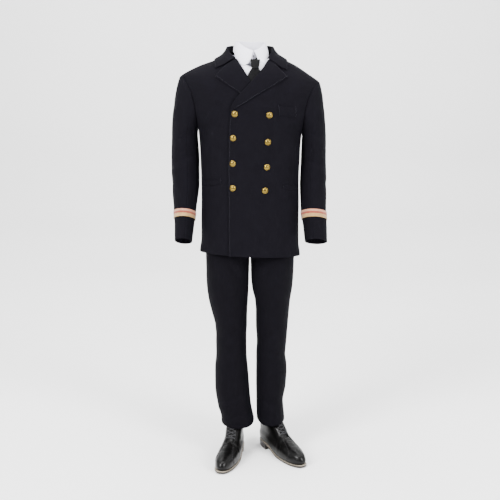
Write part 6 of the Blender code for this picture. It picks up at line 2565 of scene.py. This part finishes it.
def make_lacing():
    """Crossed laces from eyelet to eyelet, and a ring round each eyelet."""
    for side in (RIGHT, LEFT):
        boot = BOOTS[side]
        end = SIDE_NAMES[side]
        paths = []
        for (low, high), lean in zip(zip(EYELET_SHARES, EYELET_SHARES[1:]), (1, -1, 1, -1)):
            for way in (1, -1):
                start = facing_point(boot, low, way, 0.0006)
                finish = facing_point(boot, high, -way, 0.0006)
                middle = (start + finish) / 2
                rise = 0.0030 if way == lean else 0.0016
                middle += boot.normal(0.0, (low + high) / 2) * rise
                paths.append([start, start.lerp(middle, 0.5) + boot.forward * 0.0012, middle])
                paths[-1] += [middle.lerp(finish, 0.5) + boot.forward * 0.0012, finish]
        low = EYELET_SHARES[0]
        first = [facing_point(boot, low, way, 0.0008) for way in (1, -1)]
        middle = (first[0] + first[1]) / 2 + boot.normal(0.0, low) * 0.0022
        paths.append([first[0], first[0].lerp(middle, 0.6) + boot.forward * 0.001, middle, first[1]])
        node = (f"boot_lace_{end}",)
        tube(f"boot_laces_{end}", paths, LACE_RADIUS, BOOT_LACE, node, "tie_silk", LACE_FLATNESS)
    rings = []
    for side in (RIGHT, LEFT):
        boot = BOOTS[side]
        for share in EYELET_SHARES:
            for way in (1, -1):
                centre = facing_point(boot, share, way, 0.0003)
                normal = boot.normal(math.radians(VAMP_EDGE.at(share, "degrees")) * way, share)
                rings.append(((centre.x, centre.y, centre.z - HOLD_HEIGHT), tuple(normal)))
    source = points_mesh("eyelet_places", rings)
    grown("boot_eyelets", source, eyelet_tree(), {"Metal": BLACK_EYELET}, (), "boot_leather")


def eyelet_tree():
    """A small rolled ring on every point of the source."""
    inputs = (
        ("Radius", "NodeSocketFloat", 0.0024),
        ("Thickness", "NodeSocketFloat", 0.0007),
        ("Metal", "NodeSocketMaterial", None),
    )
    tree, given, result = start_tree("eyelet", inputs)
    loop = add(tree, "GeometryNodeCurvePrimitiveCircle", in_Resolution=14, in_Radius=given.outputs["Radius"])
    thick = given.outputs["Thickness"]
    section = add(tree, "GeometryNodeCurvePrimitiveCircle", in_Resolution=6, in_Radius=thick)
    ring = add(
        tree, "GeometryNodeCurveToMesh", in_Curve=loop.outputs[0], in_Profile_Curve=section.outputs[0]
    )
    smooth = add(tree, "GeometryNodeSetShadeSmooth", in_Geometry=ring.outputs[0])
    copies_on_points(tree, given, result, smooth.outputs[0])
    return tree


make_buttons()
make_stitching()
make_lacing()


# The stage: a pale floor that runs up behind, soft studio light and the camera.


def make_stage():
    floor_z = -HOLD_HEIGHT - 0.0005
    points = []
    for y, z in ((-8.0, 0.0), (4.0, 0.0), (5.2, 0.25), (5.9, 0.9), (6.1, 2.0), (6.1, 9.0)):
        points += [(-12.0, y, floor_z + z), (12.0, y, floor_z + z)]
    faces = [(2 * i, 2 * i + 1, 2 * i + 3, 2 * i + 2) for i in range(5)]
    mesh = bpy.data.meshes.new("studio_sweep")
    mesh.from_pydata(points, [], faces)
    mesh.shade_smooth()
    material, tree, shader = new_material("matte_paper_sweep", 0.9, Specular_IOR_Level=0.2)
    place = object_place(tree)
    grain = noise(tree, place, 900.0)
    tree.links.new(ramp(tree, grain, (0.3, "#F8F8F8"), (0.7, "#FBFBFB")), shader.inputs["Base Color"])
    floor = put_in_scene("studio_sweep", mesh, material)


def add_light(name, location, target, size, power, tint="#FFFFFF"):
    data = bpy.data.lights.new(name, "AREA")
    data.shape = "RECTANGLE"
    data.size, data.size_y = size
    data.energy = power
    data.color = colour(tint)[:3]
    light = bpy.data.objects.new(name, data)
    bpy.context.scene.collection.objects.link(light)
    light.location = location
    light.rotation_euler = (Vector(target) - Vector(location)).to_track_quat("-Z", "Y").to_euler()
    return light


# The camera fitted to the photograph: metres, and millimetres for the lens and its sensor.
CAMERA_DISTANCE = 3.2
CAMERA_HEIGHT = 1.31
AIM_HEIGHT = 0.81
SENSOR_WIDTH = 36.0
LENS = 60.3


def make_light_and_camera():
    world = bpy.data.worlds.new("studio")
    world.use_nodes = True
    background = world.node_tree.nodes["Background"]
    background.inputs["Color"].default_value = (1.0, 1.0, 1.0, 1.0)
    # The white walls stand behind the figure, and the room is darker towards the camera.
    tree = world.node_tree
    direction = add(tree, "ShaderNodeTexCoord").outputs["Generated"]
    parts = add(tree, "ShaderNodeSeparateXYZ", in_0=direction)
    strength = add(tree, "ShaderNodeMapRange", {"interpolation_type": "SMOOTHSTEP"}, in_0=parts.outputs["Y"])
    for socket, value in (("From Min", -0.55), ("From Max", 0.25), ("To Min", 0.45), ("To Max", 2.3)):
        strength.inputs[socket].default_value = value
    tree.links.new(strength.outputs[0], background.inputs["Strength"])
    bpy.context.scene.world = world
    add_light("key_softbox", (-2.6, -3.0, 1.7), (0.0, 0.0, -0.6), (1.6, 2.4), 420)
    add_light("fill_softbox", (2.8, -2.8, 1.0), (0.0, 0.0, -0.7), (1.4, 2.4), 280)
    add_light("top_softbox", (0.0, -0.6, 3.0), (0.0, 0.0, 0.0), (2.6, 2.0), 160)
    add_light("backdrop_softbox", (0.0, 2.4, 3.4), (0.0, 6.0, 0.2), (7.0, 2.0), 420)
    camera_data = bpy.data.cameras.new("camera")
    camera_data.sensor_width = SENSOR_WIDTH
    camera_data.lens = LENS
    camera = bpy.data.objects.new("camera", camera_data)
    bpy.context.scene.collection.objects.link(camera)
    camera.location = (0.0, -CAMERA_DISTANCE, CAMERA_HEIGHT - HOLD_HEIGHT)
    aim = Vector((0.0, 0.0, AIM_HEIGHT - HOLD_HEIGHT))
    camera.rotation_euler = (aim - camera.location).to_track_quat("-Z", "Y").to_euler()
    bpy.context.scene.camera = camera


make_stage()
make_light_and_camera()
